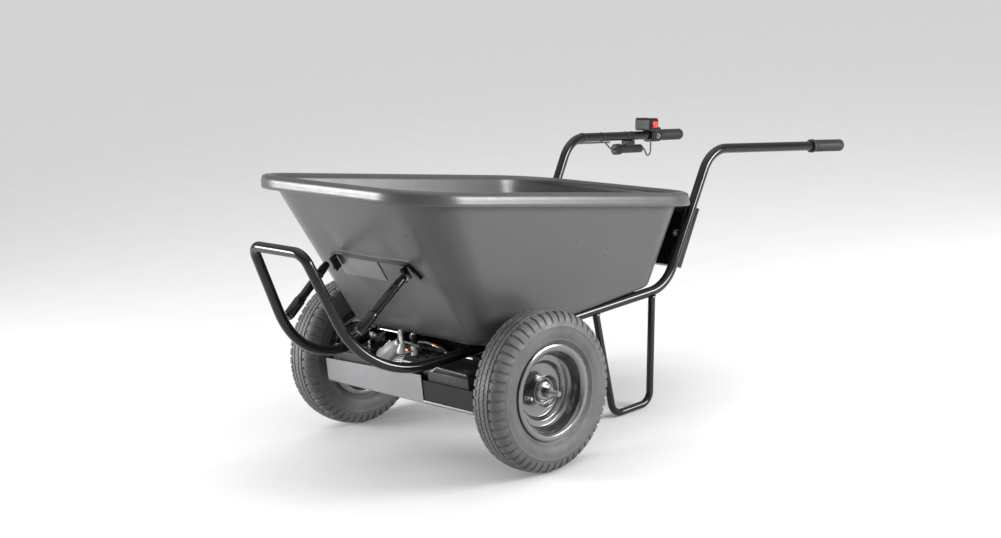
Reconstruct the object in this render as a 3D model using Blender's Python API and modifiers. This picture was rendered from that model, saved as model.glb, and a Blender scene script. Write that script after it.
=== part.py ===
"""Power wheelbarrow: tub on a bent tube frame, with a battery-driven transaxle between two wheels.

Metres, +Z up. The machine stands on its wheels and rear legs. X runs across it, +X on the operator's
left, and the operator stands at +Y. Lengths below are measured from a datum on the ground, midway
between the wheels under their axle. The datum lies AXLE_Y ahead of the middle of the bounding box.
"""

from math import atan2, cos, pi, radians, sin, tan

import bmesh
import bpy
from mathutils import Matrix, Vector

# ---------------------------------------------------------------- driving dimensions
AXLE_Y = -0.41880        # axle's place in the world, so that the bounding box is centred on Y
GAP = 0.0003             # running gap between pieces that touch

WHEEL_RADIUS = 0.200     # 4.00-8 tyre
TYRE_WIDTH = 0.100
BEAD_RADIUS = 0.1023     # 8 inch bead seat, with room for the rim's flats
TRACK = 0.721            # between the wheels' centre planes
HALF_TRACK = TRACK / 2
AXLE_Z = WHEEL_RADIUS

TUBE_RADIUS = 0.0130     # main frame tube
TUBE_WALL = 0.0020
LEG_RADIUS = 0.0095
LEG_WALL = 0.0015
GRIP_RADIUS = 0.0170

# the frame's centre line on the left side, from the nose loop to the end of the handle
LOOP_TOP = (0.100, -0.466, 0.623)
LOOP_BOTTOM = (0.132, -0.347, 0.279)
SPLICE = (0.2111, 0.100, 0.2967)
RAIL_END = (0.2600, 0.580, 0.3067)
HANDLE_BEND = (0.2660, 0.795, 0.6400)
HANDLE_END = (0.3058, 1.309, 0.5550)
SPLICE_GAP = 0.0015       # the two tubes meet at a slight angle
LOOP_TOP_BEND = 0.034
LOOP_BOTTOM_BEND = 0.235
RISER_BEND = 0.105
HANDLE_BEND_RADIUS = 0.090

# a leg's centre line on the left side: down from the rail, along the ground and up again
LEG = (
    (0.2370, 0.3325, 0.2868),
    (0.2430, 0.3580, LEG_RADIUS),
    (0.2530, 0.4890, LEG_RADIUS),
    (0.2580, 0.5250, 0.2903),
)
LEG_BEND = 0.034

# tub: its floor follows the rails, a little lower at the front
TUB_WALL = 0.0040
FLOOR_FRONT, FLOOR_REAR, FLOOR_HALF = -0.0800, 0.545, 0.260
FLOOR_FRONT_Z, FLOOR_REAR_Z = 0.3085, 0.3193
FLOOR_CORNER, RIM_CORNER = 0.060, 0.125
FLOOR_INSET = 0.022       # of the flat underside from the wall's foot
RIM_FRONT, RIM_REAR, RIM_HALF = -0.2890, 0.668, 0.319
RIM_FRONT_Z, RIM_REAR_Z = 0.7330, 0.5330
LIP_OUT, LIP_DROP = 0.025, 0.028

# battery pan, ahead of the axle
PAN_HALF = 0.283
PAN_FRONT, PAN_REAR = -0.156, -0.050
PAN_Z = 0.1690
PAN_PLATE_HALF, PAN_PLATE_RISE = 0.1915, 0.012   # the plate is taller at its left end
SHEET = 0.0025
BATTERY = (0.151, 0.096, 0.095)
BATTERY_X = 0.190
BATTERY_Y = -0.1010

# transaxle: the ring gear turns on the axle, the idler and the motor lie ahead of it
RING_TEETH, IDLER_SMALL_TEETH, COARSE_MODULE = 40, 10, 0.0021
IDLER_LARGE_TEETH, PINION_TEETH, FINE_MODULE = 45, 9, 0.0015
DRIVE_LEAN = radians(22.4)     # rise of the line from the axle to the motor
RING_TO_IDLER = COARSE_MODULE * (RING_TEETH + IDLER_SMALL_TEETH) / 2
IDLER_TO_MOTOR = FINE_MODULE * (IDLER_LARGE_TEETH + PINION_TEETH) / 2
RING_X = -0.049                # middle of the ring gear and the idler's small gear
FINE_X = -0.071                # middle of the idler's large gear and the motor pinion
CARRIER_X = -0.016             # middle of the differential
MOTOR_RADIUS = 0.042
SHAFT_RADIUS = 0.0110
AXLE_TUBE_RADIUS = 0.0190

# differential: straight bevel gears on a common apex
SIDE_TEETH, PLANET_TEETH, BEVEL_MODULE = 14, 10, 0.0020
SIDE_PITCH = BEVEL_MODULE * SIDE_TEETH / 2
PLANET_PITCH = BEVEL_MODULE * PLANET_TEETH / 2
BEVEL_FACE = 0.30              # share of the cone's length that carries teeth

# ---------------------------------------------------------------- scene and materials


def clear_scene():
    """Remove the objects that the file opened with."""
    for item in list(bpy.data.objects):
        bpy.data.objects.remove(item, do_unlink=True)


def collection(name):
    """Make a collection and link it to the scene."""
    made = bpy.data.collections.new(name)
    bpy.context.scene.collection.children.link(made)
    return made


def material(name, colour, roughness, metallic=0.0):
    """Make a Principled BSDF material."""
    made = bpy.data.materials.new(name)
    made.use_nodes = True
    shader = made.node_tree.nodes["Principled BSDF"]
    shader.inputs["Base Color"].default_value = (*colour, 1.0)
    shader.inputs["Roughness"].default_value = roughness
    shader.inputs["Metallic"].default_value = metallic
    return made


clear_scene()
PARTS = collection("power_wheelbarrow")
CUTTERS = collection("cutters")

GREY_PLASTIC = material("grey_moulded_plastic", (0.16, 0.16, 0.16), 0.45)
BLACK_PAINT = material("black_gloss_paint", (0.012, 0.012, 0.012), 0.25)
PALE_STEEL = material("galvanised_steel", (0.62, 0.63, 0.64), 0.38, 1.0)
BRIGHT_STEEL = material("zinc_plated_steel", (0.75, 0.75, 0.74), 0.28, 1.0)
RIM_STEEL = material("grey_rim_enamel", (0.20, 0.20, 0.21), 0.35, 0.6)
CAST_ALUMINIUM = material("cast_aluminium", (0.60, 0.60, 0.60), 0.50, 1.0)
GEAR_STEEL = material("hardened_steel", (0.42, 0.41, 0.40), 0.30, 1.0)
TYRE_RUBBER = material("tyre_rubber", (0.055, 0.055, 0.057), 0.80)
GRIP_RUBBER = material("grip_rubber", (0.035, 0.035, 0.036), 0.70)
BLACK_PLASTIC = material("black_plastic", (0.020, 0.020, 0.021), 0.45)
RED_PLASTIC = material("red_plastic", (0.62, 0.025, 0.020), 0.35)
COPPER = material("copper", (0.72, 0.38, 0.22), 0.35, 1.0)

# ---------------------------------------------------------------- placing


def empty(name, location=(0, 0, 0), rotation=(0, 0, 0), parent=None):
    """A frame of reference that others hang from."""
    made = bpy.data.objects.new(name, None)
    made.empty_display_size = 0.05
    made.location = location
    made.rotation_euler = rotation
    made.parent = parent
    PARTS.objects.link(made)
    return made


DATUM = empty("datum", (0, AXLE_Y, 0))


def place(item, location=(0, 0, 0), rotation=(0, 0, 0), parent=None):
    """Put an object under its parent, which is the datum unless another is given."""
    item.parent = parent or DATUM
    item.location = location
    item.rotation_euler = rotation
    return item


def add(name, mesh, finish, location=(0, 0, 0), rotation=(0, 0, 0), parent=None, smooth=True):
    """Link a mesh to the parts as a named piece."""
    item = bpy.data.objects.new(name, mesh)
    PARTS.objects.link(item)
    if not mesh.materials:
        mesh.materials.append(finish)
    if smooth:
        mesh.shade_smooth()
        mesh.set_sharp_from_angle(angle=radians(35))
    return place(item, location, rotation, parent)


def mirrored(point, side):
    """The same point on the left (+1) or right (-1) side."""
    return (point[0] * side, point[1], point[2])


SIDES = (("left", 1), ("right", -1))
ALONG_X = (0, pi / 2, 0)      # turns a piece made about Z so that it lies about X

# ---------------------------------------------------------------- shapes


def box_mesh(size, bevel=0.0, centre=(0, 0, 0)):
    """A box about a centre, with one chamfer on its edges."""
    mesh = bpy.data.meshes.new("box")
    work = bmesh.new()
    bmesh.ops.create_cube(work, size=1.0)
    bmesh.ops.scale(work, vec=size, verts=work.verts)
    bmesh.ops.translate(work, vec=centre, verts=work.verts)
    if bevel:
        bmesh.ops.bevel(work, geom=work.edges[:], offset=bevel, segments=1, affect="EDGES")
    work.to_mesh(mesh)
    work.free()
    return mesh


def box(name, size, finish, location, rotation=(0, 0, 0), bevel=0.0, parent=None):
    """A named box placed by its centre."""
    return add(name, box_mesh(size, bevel), finish, location, rotation, parent, smooth=False)


def rod_mesh(radius, length, sides=16):
    """A cylinder about Z, centred."""
    mesh = bpy.data.meshes.new("rod")
    work = bmesh.new()
    bmesh.ops.create_cone(
        work, cap_ends=True, segments=sides, radius1=radius, radius2=radius, depth=length
    )
    work.to_mesh(mesh)
    work.free()
    return mesh


def rod(name, radius, length, finish, location, rotation=(0, 0, 0), parent=None, sides=16):
    """A named cylinder placed by its centre."""
    return add(name, rod_mesh(radius, length, sides), finish, location, rotation, parent)


def turned(name, profile, finish, location=(0, 0, 0), rotation=(0, 0, 0), parent=None, steps=24):
    """A closed (radius, height) profile turned about Z; it runs down its outer side."""
    mesh = bpy.data.meshes.new(name)
    points = [(radius, 0, height) for radius, height in profile]
    count = len(points)
    mesh.from_pydata(points, [(i, (i + 1) % count) for i in range(count)], [])
    item = add(name, mesh, finish, location, rotation, parent, smooth=False)
    screw = item.modifiers.new("turn", "SCREW")
    screw.steps = steps
    screw.render_steps = steps
    screw.use_merge_vertices = True
    screw.merge_threshold = 0.00005
    screw.use_smooth_shade = True
    return item


def ring_profile(inner, outer, low, high):
    """A plain ring's section."""
    return [(outer, high), (outer, low), (inner, low), (inner, high)]


def sheet_profile(line, thickness):
    """A pressed sheet's section: a line from hub to edge, given thickness towards -Z."""
    outer = [Vector(point) for point in line]
    inner = []
    for index, point in enumerate(outer):
        before = outer[max(index - 1, 0)]
        after = outer[min(index + 1, len(outer) - 1)]
        run = (after - before).normalized()
        inner.append(point + Vector((run.y, -run.x)) * thickness)
    return [tuple(point) for point in outer + inner[::-1]]


def rounded_path(points, radii, step=radians(15)):
    """The points of a bent line: each inner corner becomes an arc of its radius."""
    corners = [Vector(point) for point in points]
    path = [corners[0]]
    for before, corner, after, radius in zip(corners, corners[1:], corners[2:], radii):
        inward = (before - corner).normalized()
        outward = (after - corner).normalized()
        turn = pi - inward.angle(outward)
        reach = radius / cos(turn / 2)
        centre = corner + (inward + outward).normalized() * reach
        start = corner + inward * radius * sin(turn / 2) / cos(turn / 2)
        axis = inward.cross(outward).normalized()
        count = max(2, round(turn / step))
        for index in range(count + 1):
            swing = Matrix.Rotation(-turn * index / count, 3, axis)
            path.append(centre + swing @ (start - centre))
    path.append(corners[-1])
    return path


def pipe(name, path, radius, finish, wall=0.0, sides=8, parent=None):
    """A round bar along a path, or an open-ended tube if it has a wall."""
    curve = bpy.data.curves.new(name, "CURVE")
    curve.dimensions = "3D"
    curve.bevel_depth = radius
    curve.bevel_resolution = sides // 2 - 2
    curve.use_fill_caps = not wall
    spline = curve.splines.new("POLY")
    spline.points.add(len(path) - 1)
    for knot, point in zip(spline.points, path):
        knot.co = (*point, 1.0)
    curve.materials.append(finish)
    item = bpy.data.objects.new(name, curve)
    PARTS.objects.link(item)
    if wall:
        shell = item.modifiers.new("wall", "SOLIDIFY")
        shell.thickness = wall
        shell.offset = -1.0
    return place(item, parent=parent)


def plate(name, outline, thickness, finish, location, rotation=(0, 0, 0), holes=(), parent=None):
    """A flat plate in its own XY plane, centred on its thickness, with round or shaped holes."""
    curve = bpy.data.curves.new(name, "CURVE")
    curve.dimensions = "2D"
    curve.fill_mode = "BOTH"
    curve.extrude = thickness / 2
    for loop in (outline, *holes):
        spline = curve.splines.new("POLY")
        spline.points.add(len(loop) - 1)
        for knot, point in zip(spline.points, loop):
            knot.co = (point[0], point[1], 0.0, 1.0)
        spline.use_cyclic_u = True
    curve.materials.append(finish)
    item = bpy.data.objects.new(name, curve)
    PARTS.objects.link(item)
    return place(item, location, rotation, parent)


def circle(radius, sides=16, centre=(0, 0), start=0.0):
    """Points round a circle."""
    turns = [start + 2 * pi * index / sides for index in range(sides)]
    return [(centre[0] + radius * cos(a), centre[1] + radius * sin(a)) for a in turns]


def as_mesh(item):
    """Turn a curve object into a mesh object with welded caps, under the same name."""
    graph = bpy.context.evaluated_depsgraph_get()
    mesh = bpy.data.meshes.new_from_object(item.evaluated_get(graph))
    work = bmesh.new()
    work.from_mesh(mesh)
    bmesh.ops.remove_doubles(work, verts=work.verts, dist=0.00001)
    work.to_mesh(mesh)
    work.free()
    name = item.name
    finish = item.data.materials[0]
    spot = (item.location.copy(), item.rotation_euler.copy(), item.parent)
    bpy.data.objects.remove(item, do_unlink=True)
    mesh.materials.clear()
    return add(name, mesh, finish, *spot, smooth=False)


def boolean(item, operation, mesh, location=(0, 0, 0), rotation=(0, 0, 0), parent=None):
    """Cut or join a mesh, placed like any piece, into an item."""
    tool = bpy.data.objects.new(f"{item.name}_{operation.lower()}", mesh)
    CUTTERS.objects.link(tool)
    place(tool, location, rotation, parent)
    tool.hide_render = True
    tool.display_type = "WIRE"
    change = item.modifiers.new(operation.lower(), "BOOLEAN")
    change.operation = operation
    change.solver = "EXACT"
    change.object = tool
    return item


# ---------------------------------------------------------------- gears


def gear_outline(teeth, module, backlash=0.16, bottom=1.25, top=0.95):
    """A gear's outline with straight-sided teeth; a tooth is centred on +X."""
    pitch = module * teeth / 2
    root = pitch - bottom * module
    tip = pitch + top * module
    half = pi / teeth * (0.5 - backlash / 2)
    flare = 0.55 * half
    outline = []
    for tooth in range(teeth):
        middle = 2 * pi * tooth / teeth
        outline += [
            (root * cos(middle - half - flare), root * sin(middle - half - flare)),
            (tip * cos(middle - half + flare), tip * sin(middle - half + flare)),
            (tip * cos(middle + half - flare), tip * sin(middle + half - flare)),
            (root * cos(middle + half + flare), root * sin(middle + half + flare)),
        ]
    return outline


def about_x(phase=0.0, side=1):
    """The rotation that lays Z along +X (or -X), with local X at an angle from +Y towards +Z."""
    turn = Matrix(((0, 0, side), (1, 0, 0), (0, side, 0)))
    return (turn @ Matrix.Rotation(phase * side, 3, "Z")).to_euler()


def spur_gear(name, teeth, module, width, bore, finish, location, phase, parent):
    """A spur gear about X with a tooth at the phase angle, from +Y towards +Z."""
    outline = gear_outline(teeth, module)
    return plate(
        name, outline, width, finish, location, about_x(phase), (circle(bore, 16),), parent
    )


def bevel_mesh(teeth, module, apex_distance, face):
    """A straight bevel gear about Z with its apex at the origin and its back at apex_distance."""
    outline = gear_outline(teeth, module, backlash=0.30, bottom=1.2, top=0.65)
    mesh = bpy.data.meshes.new("bevel")
    work = bmesh.new()
    rings = []
    for scale in (1.0 - face, 1.0):
        height = apex_distance * scale
        rings.append([work.verts.new((x * scale, y * scale, height)) for x, y in outline])
    count = len(outline)
    for index in range(count):
        after = (index + 1) % count
        work.faces.new((rings[0][index], rings[0][after], rings[1][after], rings[1][index]))
    work.faces.new(rings[0][::-1])
    work.faces.new(rings[1])
    work.to_mesh(mesh)
    work.free()
    return mesh


# ---------------------------------------------------------------- tub


def tub_ring(front, rear, half, front_z, rear_z, corner, grow=0.0, rise=0.0):
    """One level of the tub: a rounded rectangle whose height varies evenly from front to rear."""
    points = []
    corners = (
        (half - corner, rear - corner, 0),
        (-half + corner, rear - corner, pi / 2),
        (-half + corner, front + corner, pi),
        (half - corner, front + corner, 3 * pi / 2),
    )
    steps = 5
    for x, y, start in corners:
        for index in range(steps + 1):
            angle = start + pi / 2 * index / steps
            px = x + (corner + grow) * cos(angle)
            py = y + (corner + grow) * sin(angle)
            share = (py - front) / (rear - front)
            points.append((px, py, front_z + (rear_z - front_z) * share + rise))
    return points


def tub_wall_ring(share, inset=0.0):
    """A level of the tub's wall, from 0 at the floor to 1 under the rim."""

    def between(low, high):
        return low + (high - low) * share

    return tub_ring(
        between(FLOOR_FRONT, RIM_FRONT) + inset,
        between(FLOOR_REAR, RIM_REAR) - inset,
        between(FLOOR_HALF, RIM_HALF) - inset,
        between(FLOOR_FRONT_Z, RIM_FRONT_Z),
        between(FLOOR_REAR_Z, RIM_REAR_Z),
        between(FLOOR_CORNER, RIM_CORNER) - inset,
    )


def tub():
    """The moulded tub: flat floor, sloping walls and a rolled rim, lower at the rear."""
    top = (RIM_FRONT, RIM_REAR, RIM_HALF, RIM_FRONT_Z, RIM_REAR_Z, RIM_CORNER)
    rings = [tub_wall_ring(0.0, FLOOR_INSET), tub_wall_ring(0.012, 0.008)]
    rings += [tub_wall_ring(share) for share in (0.055, 0.35, 0.68, 1.0)]
    rings += [
        tub_ring(*top, grow=0.006, rise=0.010),
        tub_ring(*top, grow=LIP_OUT - 0.005, rise=0.013),
        tub_ring(*top, grow=LIP_OUT, rise=0.008),
        tub_ring(*top, grow=LIP_OUT + 0.002, rise=0.013 - LIP_DROP),
    ]
    mesh = bpy.data.meshes.new("tub")
    work = bmesh.new()
    loops = [[work.verts.new(point) for point in ring] for ring in rings]
    count = len(loops[0])
    work.faces.new(loops[0][::-1])
    for lower, upper in zip(loops, loops[1:]):
        for index in range(count):
            after = (index + 1) % count
            work.faces.new((lower[index], lower[after], upper[after], upper[index]))
    work.to_mesh(mesh)
    work.free()
    item = add("tub", mesh, GREY_PLASTIC)
    shell = item.modifiers.new("wall", "SOLIDIFY")
    shell.thickness = TUB_WALL
    shell.offset = -1.0
    return item


# ---------------------------------------------------------------- frame


def frame_line(side):
    """The corners and bends of one side, from the nose loop to the handle's end."""
    corners = [LOOP_TOP, LOOP_BOTTOM, SPLICE, RAIL_END, HANDLE_BEND, HANDLE_END]
    return [mirrored(corner, side) for corner in corners]


def frame():
    """The nose loop with the lower rails, the two handle tubes and the two legs."""
    left = frame_line(1)[:3]
    right = frame_line(-1)[:3]
    bends = (LOOP_BOTTOM_BEND, LOOP_TOP_BEND, LOOP_TOP_BEND, LOOP_BOTTOM_BEND)
    nose = rounded_path([*left[::-1], *right], bends)
    pipe("front_frame_tube", nose, TUBE_RADIUS, BLACK_PAINT, TUBE_WALL)
    for name, side in SIDES:
        splice, *bent, end = frame_line(side)[2:]
        start = Vector(splice) + (Vector(bent[0]) - Vector(splice)).normalized() * SPLICE_GAP
        handle = rounded_path([start, *bent, end], (RISER_BEND, HANDLE_BEND_RADIUS))
        pipe(f"handle_tube_{name}", handle, TUBE_RADIUS, BLACK_PAINT, TUBE_WALL)
        leg = [mirrored(point, side) for point in LEG]
        path = rounded_path(leg, (LEG_BEND, LEG_BEND))
        pipe(f"rear_leg_{name}", path, LEG_RADIUS, BLACK_PAINT, LEG_WALL)


FRONT_BAR_Y, REAR_BAR_Y = 0.075, 0.470
FRONT_BAR = (0.354, 0.030, 0.092)        # deep enough to reach down to the axle tubes
REAR_BAR = (0.465, 0.040, 0.022)
FRONT_BAR_FOOT = (0.480, 0.030, 0.062)   # wider, under the rails


def cross_bars():
    """The two bars between the rails that the tub's floor is bolted to."""
    flat_front, flat_rear = FLOOR_FRONT + FLOOR_INSET, FLOOR_REAR - FLOOR_INSET
    lean = atan2(FLOOR_REAR_Z - FLOOR_FRONT_Z, flat_rear - flat_front)
    for name, size, y in (
        ("front_cross_bar", FRONT_BAR, FRONT_BAR_Y),
        ("rear_cross_bar", REAR_BAR, REAR_BAR_Y),
    ):
        floor_z = FLOOR_FRONT_Z + (y - flat_front) * tan(lean)
        middle = (0, y, floor_z - size[2] / 2 - GAP)
        bar = box(name, size, BLACK_PAINT, middle, (lean, 0, 0), bevel=0.0015)
        if y == FRONT_BAR_Y:
            foot = box_mesh(FRONT_BAR_FOOT, centre=(0, 0, (FRONT_BAR_FOOT[2] - size[2]) / 2))
            boolean(bar, "UNION", foot, middle, (lean, 0, 0))


# ---------------------------------------------------------------- nose bracket and struts

WALL_LEAN = atan2(FLOOR_FRONT - RIM_FRONT, RIM_FRONT_Z - FLOOR_FRONT_Z)   # forward from upright
BRACKET_Z = 0.5425
BRACKET_HALF, BRACKET_DEPTH, BRACKET_THICK = 0.150, 0.008, 0.006
BRACKET_REACH, BRACKET_DROP = 0.022, 0.040       # of its bent ends
EAR_X, EAR_HEIGHT = 0.137, 0.040
EAR_INNER, EAR_OUTER = 0.005, 0.026      # out from the wall
FRONT_PLATE = (0.1655, 0.066, SHEET)
FRONT_PLATE_X = -0.0623
STRUT_FOOT = (0.1400, -0.3640, 0.4130)
STRUT_HEAD = (0.1500, -0.2150, 0.5150)


def wall_point(x, z, out):
    """A point a given distance out from the tub's front wall, at a height."""
    y = FLOOR_FRONT - (z - FLOOR_FRONT_Z) * tan(WALL_LEAN)
    return (x, y - out * cos(WALL_LEAN), z - out * sin(WALL_LEAN))


def front_bracket():
    """A bar across the tub's front wall with its ends bent down, two ears, and a backing plate."""
    half, thick = BRACKET_HALF, BRACKET_THICK
    tip = half + BRACKET_REACH
    outline = [
        (-half, 0.0),
        (half, 0.0),
        (tip, -BRACKET_DROP),
        (tip - 0.004, -BRACKET_DROP - thick),
        (half - 0.003, -thick),
        (-half + 0.003, -thick),
        (-tip + 0.004, -BRACKET_DROP - thick),
        (-tip, -BRACKET_DROP),
    ]
    lie = (pi / 2 + WALL_LEAN, 0, 0)
    middle = wall_point(0, BRACKET_Z, BRACKET_DEPTH / 2 + GAP)
    bar = plate("tub_front_bracket", outline[::-1], BRACKET_DEPTH, BLACK_PAINT, middle, lie)
    bracket = as_mesh(bar)
    for side in (1, -1):
        ear_y = -EAR_HEIGHT / 2 - thick / 2
        ear_out = (EAR_INNER + EAR_OUTER) / 2 - BRACKET_DEPTH / 2 - GAP
        ear_size = (0.005, EAR_HEIGHT, EAR_OUTER - EAR_INNER)
        ear = box_mesh(ear_size, centre=(side * EAR_X, ear_y, ear_out))
        boolean(bracket, "UNION", ear, middle, lie)
    down = BRACKET_THICK + GAP + FRONT_PLATE[1] / 2
    under = wall_point(FRONT_PLATE_X, BRACKET_Z - down * cos(WALL_LEAN), SHEET / 2 + GAP)
    box("tub_front_plate", FRONT_PLATE, PALE_STEEL, under, lie, bevel=0.0005)


def struts():
    """Each strut is a rod in a thicker sleeve, from the nose loop up to an ear of the bracket."""
    for name, side in SIDES:
        foot = Vector(mirrored(STRUT_FOOT, side))
        head = Vector(mirrored(STRUT_HEAD, side))
        run = (head - foot).normalized()
        lie = run.to_track_quat("Z", "Y").to_euler()
        sleeve, rod_length = 0.062, (head - foot).length - 0.062 - GAP
        turned(
            f"strut_sleeve_{name}",
            [(0.0112, sleeve), (0.0140, sleeve - 0.003), (0.0140, 0.008), (0.0080, 0.0), (0.0, 0.0),
             (0.0, sleeve)],
            BLACK_PAINT,
            foot,
            lie,
            steps=12,
        )
        rod(
            f"strut_rod_{name}",
            0.0110,
            rod_length,
            BLACK_PAINT,
            foot + run * (sleeve + GAP + rod_length / 2),
            lie,
            sides=12,
        )


# ---------------------------------------------------------------- battery pan


def battery_pan():
    """A folded sheet pan under the batteries, hung from the rails, with a pale plate on its front."""
    depth = PAN_REAR - PAN_FRONT
    middle = (PAN_FRONT + PAN_REAR) / 2
    pan = box(
        "battery_pan",
        (2 * PAN_HALF, depth, SHEET),
        BLACK_PAINT,
        (0, middle, PAN_Z + SHEET / 2),
    )
    front = box_mesh((2 * PAN_HALF, SHEET, 0.060))
    boolean(pan, "UNION", front, (0, PAN_FRONT + SHEET / 2, PAN_Z + 0.030))
    rear = box_mesh((2 * PAN_HALF, SHEET, 0.020))
    boolean(pan, "UNION", rear, (0, PAN_REAR - SHEET / 2, PAN_Z + 0.010))
    for side in (1, -1):
        hanger = box_mesh((0.030, SHEET, 0.105))
        boolean(pan, "UNION", hanger, (side * 0.193, PAN_REAR - SHEET / 2, PAN_Z + 0.0525))
    notch = box_mesh((0.140, 0.060, 0.100))
    boolean(pan, "DIFFERENCE", notch, (-0.035, PAN_REAR - 0.010, PAN_Z + 0.030))
    half, low, high = PAN_PLATE_HALF, -0.030, 0.030
    plate(
        "pan_front_plate",
        [(-half, low), (half, low), (half, high + PAN_PLATE_RISE), (-half, high)],
        SHEET,
        PALE_STEEL,
        (-0.0915, PAN_FRONT - SHEET / 2 - GAP, PAN_Z + 0.032),
        (pi / 2, 0, 0),
    )
    for name, side in SIDES:
        centre = (side * BATTERY_X, BATTERY_Y, PAN_Z + SHEET + GAP + BATTERY[2] / 2)
        box(f"battery_{name}", BATTERY, BLACK_PLASTIC, centre, bevel=0.003)


# ---------------------------------------------------------------- transaxle

DRIVE_ANGLE = pi - DRIVE_LEAN
IDLER_YZ = (RING_TO_IDLER * cos(DRIVE_ANGLE), AXLE_Z + RING_TO_IDLER * sin(DRIVE_ANGLE))
MOTOR_REACH = RING_TO_IDLER + IDLER_TO_MOTOR
MOTOR_YZ = (MOTOR_REACH * cos(DRIVE_ANGLE), AXLE_Z + MOTOR_REACH * sin(DRIVE_ANGLE))

CASE_LEFT, CASE_WALL_X, CASE_SPLIT, CASE_RIGHT = 0.0120, -0.0375, -0.0600, -0.0830
CASE_WALL = 0.0040
CASE_ROUNDS = (((0.0, AXLE_Z), 0.0510), (IDLER_YZ, 0.0420), (MOTOR_YZ, 0.0430))


def case_mesh(inset, low, high):
    """The gearbox's outline, hulled round its three shafts, between two places along X."""
    mesh = bpy.data.meshes.new("case")
    work = bmesh.new()
    for (y, z), radius in CASE_ROUNDS:
        for cy, cz in circle(radius - inset, 24, (y, z)):
            for x in (low, high):
                work.verts.new((x, cy, cz))
    bmesh.ops.convex_hull(work, input=work.verts[:])
    loose = [vert for vert in work.verts if not vert.link_faces]
    bmesh.ops.delete(work, geom=loose, context="VERTS")
    bmesh.ops.dissolve_limit(
        work, angle_limit=0.001, verts=work.verts[:], edges=work.edges[:]
    )
    bmesh.ops.recalc_face_normals(work, faces=work.faces[:])
    work.to_mesh(mesh)
    work.free()
    return mesh


def cut_round(item, radius, low, high, yz, sides=24):
    """Cut a round hole along X."""
    hole = rod_mesh(radius, high - low, sides)
    boolean(item, "DIFFERENCE", hole, ((low + high) / 2, *yz), ALONG_X)


def gearbox():
    """The cast case and its cover."""
    axle = (0.0, AXLE_Z)
    case = add("gearbox_case", case_mesh(0, CASE_SPLIT, CASE_WALL_X), CAST_ALUMINIUM)
    neck = rod_mesh(0.0340, CASE_LEFT - CASE_WALL_X + 0.002, 24)
    middle = (CASE_LEFT + CASE_WALL_X - 0.002) / 2
    boolean(case, "UNION", neck, (middle, *axle), ALONG_X)
    room = case_mesh(CASE_WALL, CASE_SPLIT - 0.010, CASE_WALL_X - CASE_WALL)
    boolean(case, "DIFFERENCE", room)
    cut_round(case, 0.0300, CASE_WALL_X - 0.010, CASE_LEFT - CASE_WALL, axle)
    cut_round(case, SHAFT_RADIUS + 0.0005, CASE_LEFT - 0.010, CASE_LEFT + 0.010, axle, 16)
    cut_round(case, 0.0050, CASE_WALL_X - 0.010, CASE_WALL_X + 0.010, MOTOR_YZ, 12)
    cover = add("gearbox_cover", case_mesh(0, CASE_RIGHT, CASE_SPLIT - GAP), CAST_ALUMINIUM)
    room = case_mesh(CASE_WALL, CASE_RIGHT + CASE_WALL, CASE_SPLIT + 0.010)
    boolean(cover, "DIFFERENCE", room)
    cut_round(cover, SHAFT_RADIUS + 0.0005, CASE_RIGHT - 0.010, CASE_RIGHT + 0.010, axle, 16)


def gear_train():
    """Motor pinion, idler cluster on its shaft, and the ring gear."""
    idler = spur_gear(
        "idler_gear",
        IDLER_SMALL_TEETH,
        COARSE_MODULE,
        0.011,
        0.0043,
        GEAR_STEEL,
        (RING_X, *IDLER_YZ),
        DRIVE_ANGLE + pi + pi / IDLER_SMALL_TEETH,
        DATUM,
    )
    idler = as_mesh(idler)
    large = spur_gear(
        "idler_large_gear",
        IDLER_LARGE_TEETH,
        FINE_MODULE,
        0.008,
        0.0043,
        GEAR_STEEL,
        (FINE_X, *IDLER_YZ),
        DRIVE_ANGLE,
        DATUM,
    )
    large = as_mesh(large)
    large_mesh = large.data
    rotation = large.rotation_euler.copy()
    bpy.data.objects.remove(large, do_unlink=True)
    sleeve = rod_mesh(0.0066, RING_X - FINE_X, 16)
    boolean(idler, "UNION", sleeve, ((RING_X + FINE_X) / 2, *IDLER_YZ), ALONG_X)
    boolean(idler, "UNION", large_mesh, (FINE_X, *IDLER_YZ), rotation)
    cut_round(idler, 0.0043, FINE_X - 0.010, RING_X + 0.010, IDLER_YZ, 16)
    shaft_low, shaft_high = CASE_RIGHT + CASE_WALL + GAP, CASE_WALL_X - CASE_WALL - GAP
    rod(
        "idler_shaft",
        0.0040,
        shaft_high - shaft_low,
        GEAR_STEEL,
        ((shaft_low + shaft_high) / 2, *IDLER_YZ),
        ALONG_X,
    )
    spur_gear(
        "ring_gear",
        RING_TEETH,
        COARSE_MODULE,
        0.010,
        0.0153,
        GEAR_STEEL,
        (RING_X, 0, AXLE_Z),
        DRIVE_ANGLE,
        DATUM,
    )
    spur_gear(
        "motor_pinion",
        PINION_TEETH,
        FINE_MODULE,
        0.009,
        0.0031,
        GEAR_STEEL,
        (FINE_X, *MOTOR_YZ),
        DRIVE_ANGLE + pi + pi / PINION_TEETH,
        DATUM,
    )


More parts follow.
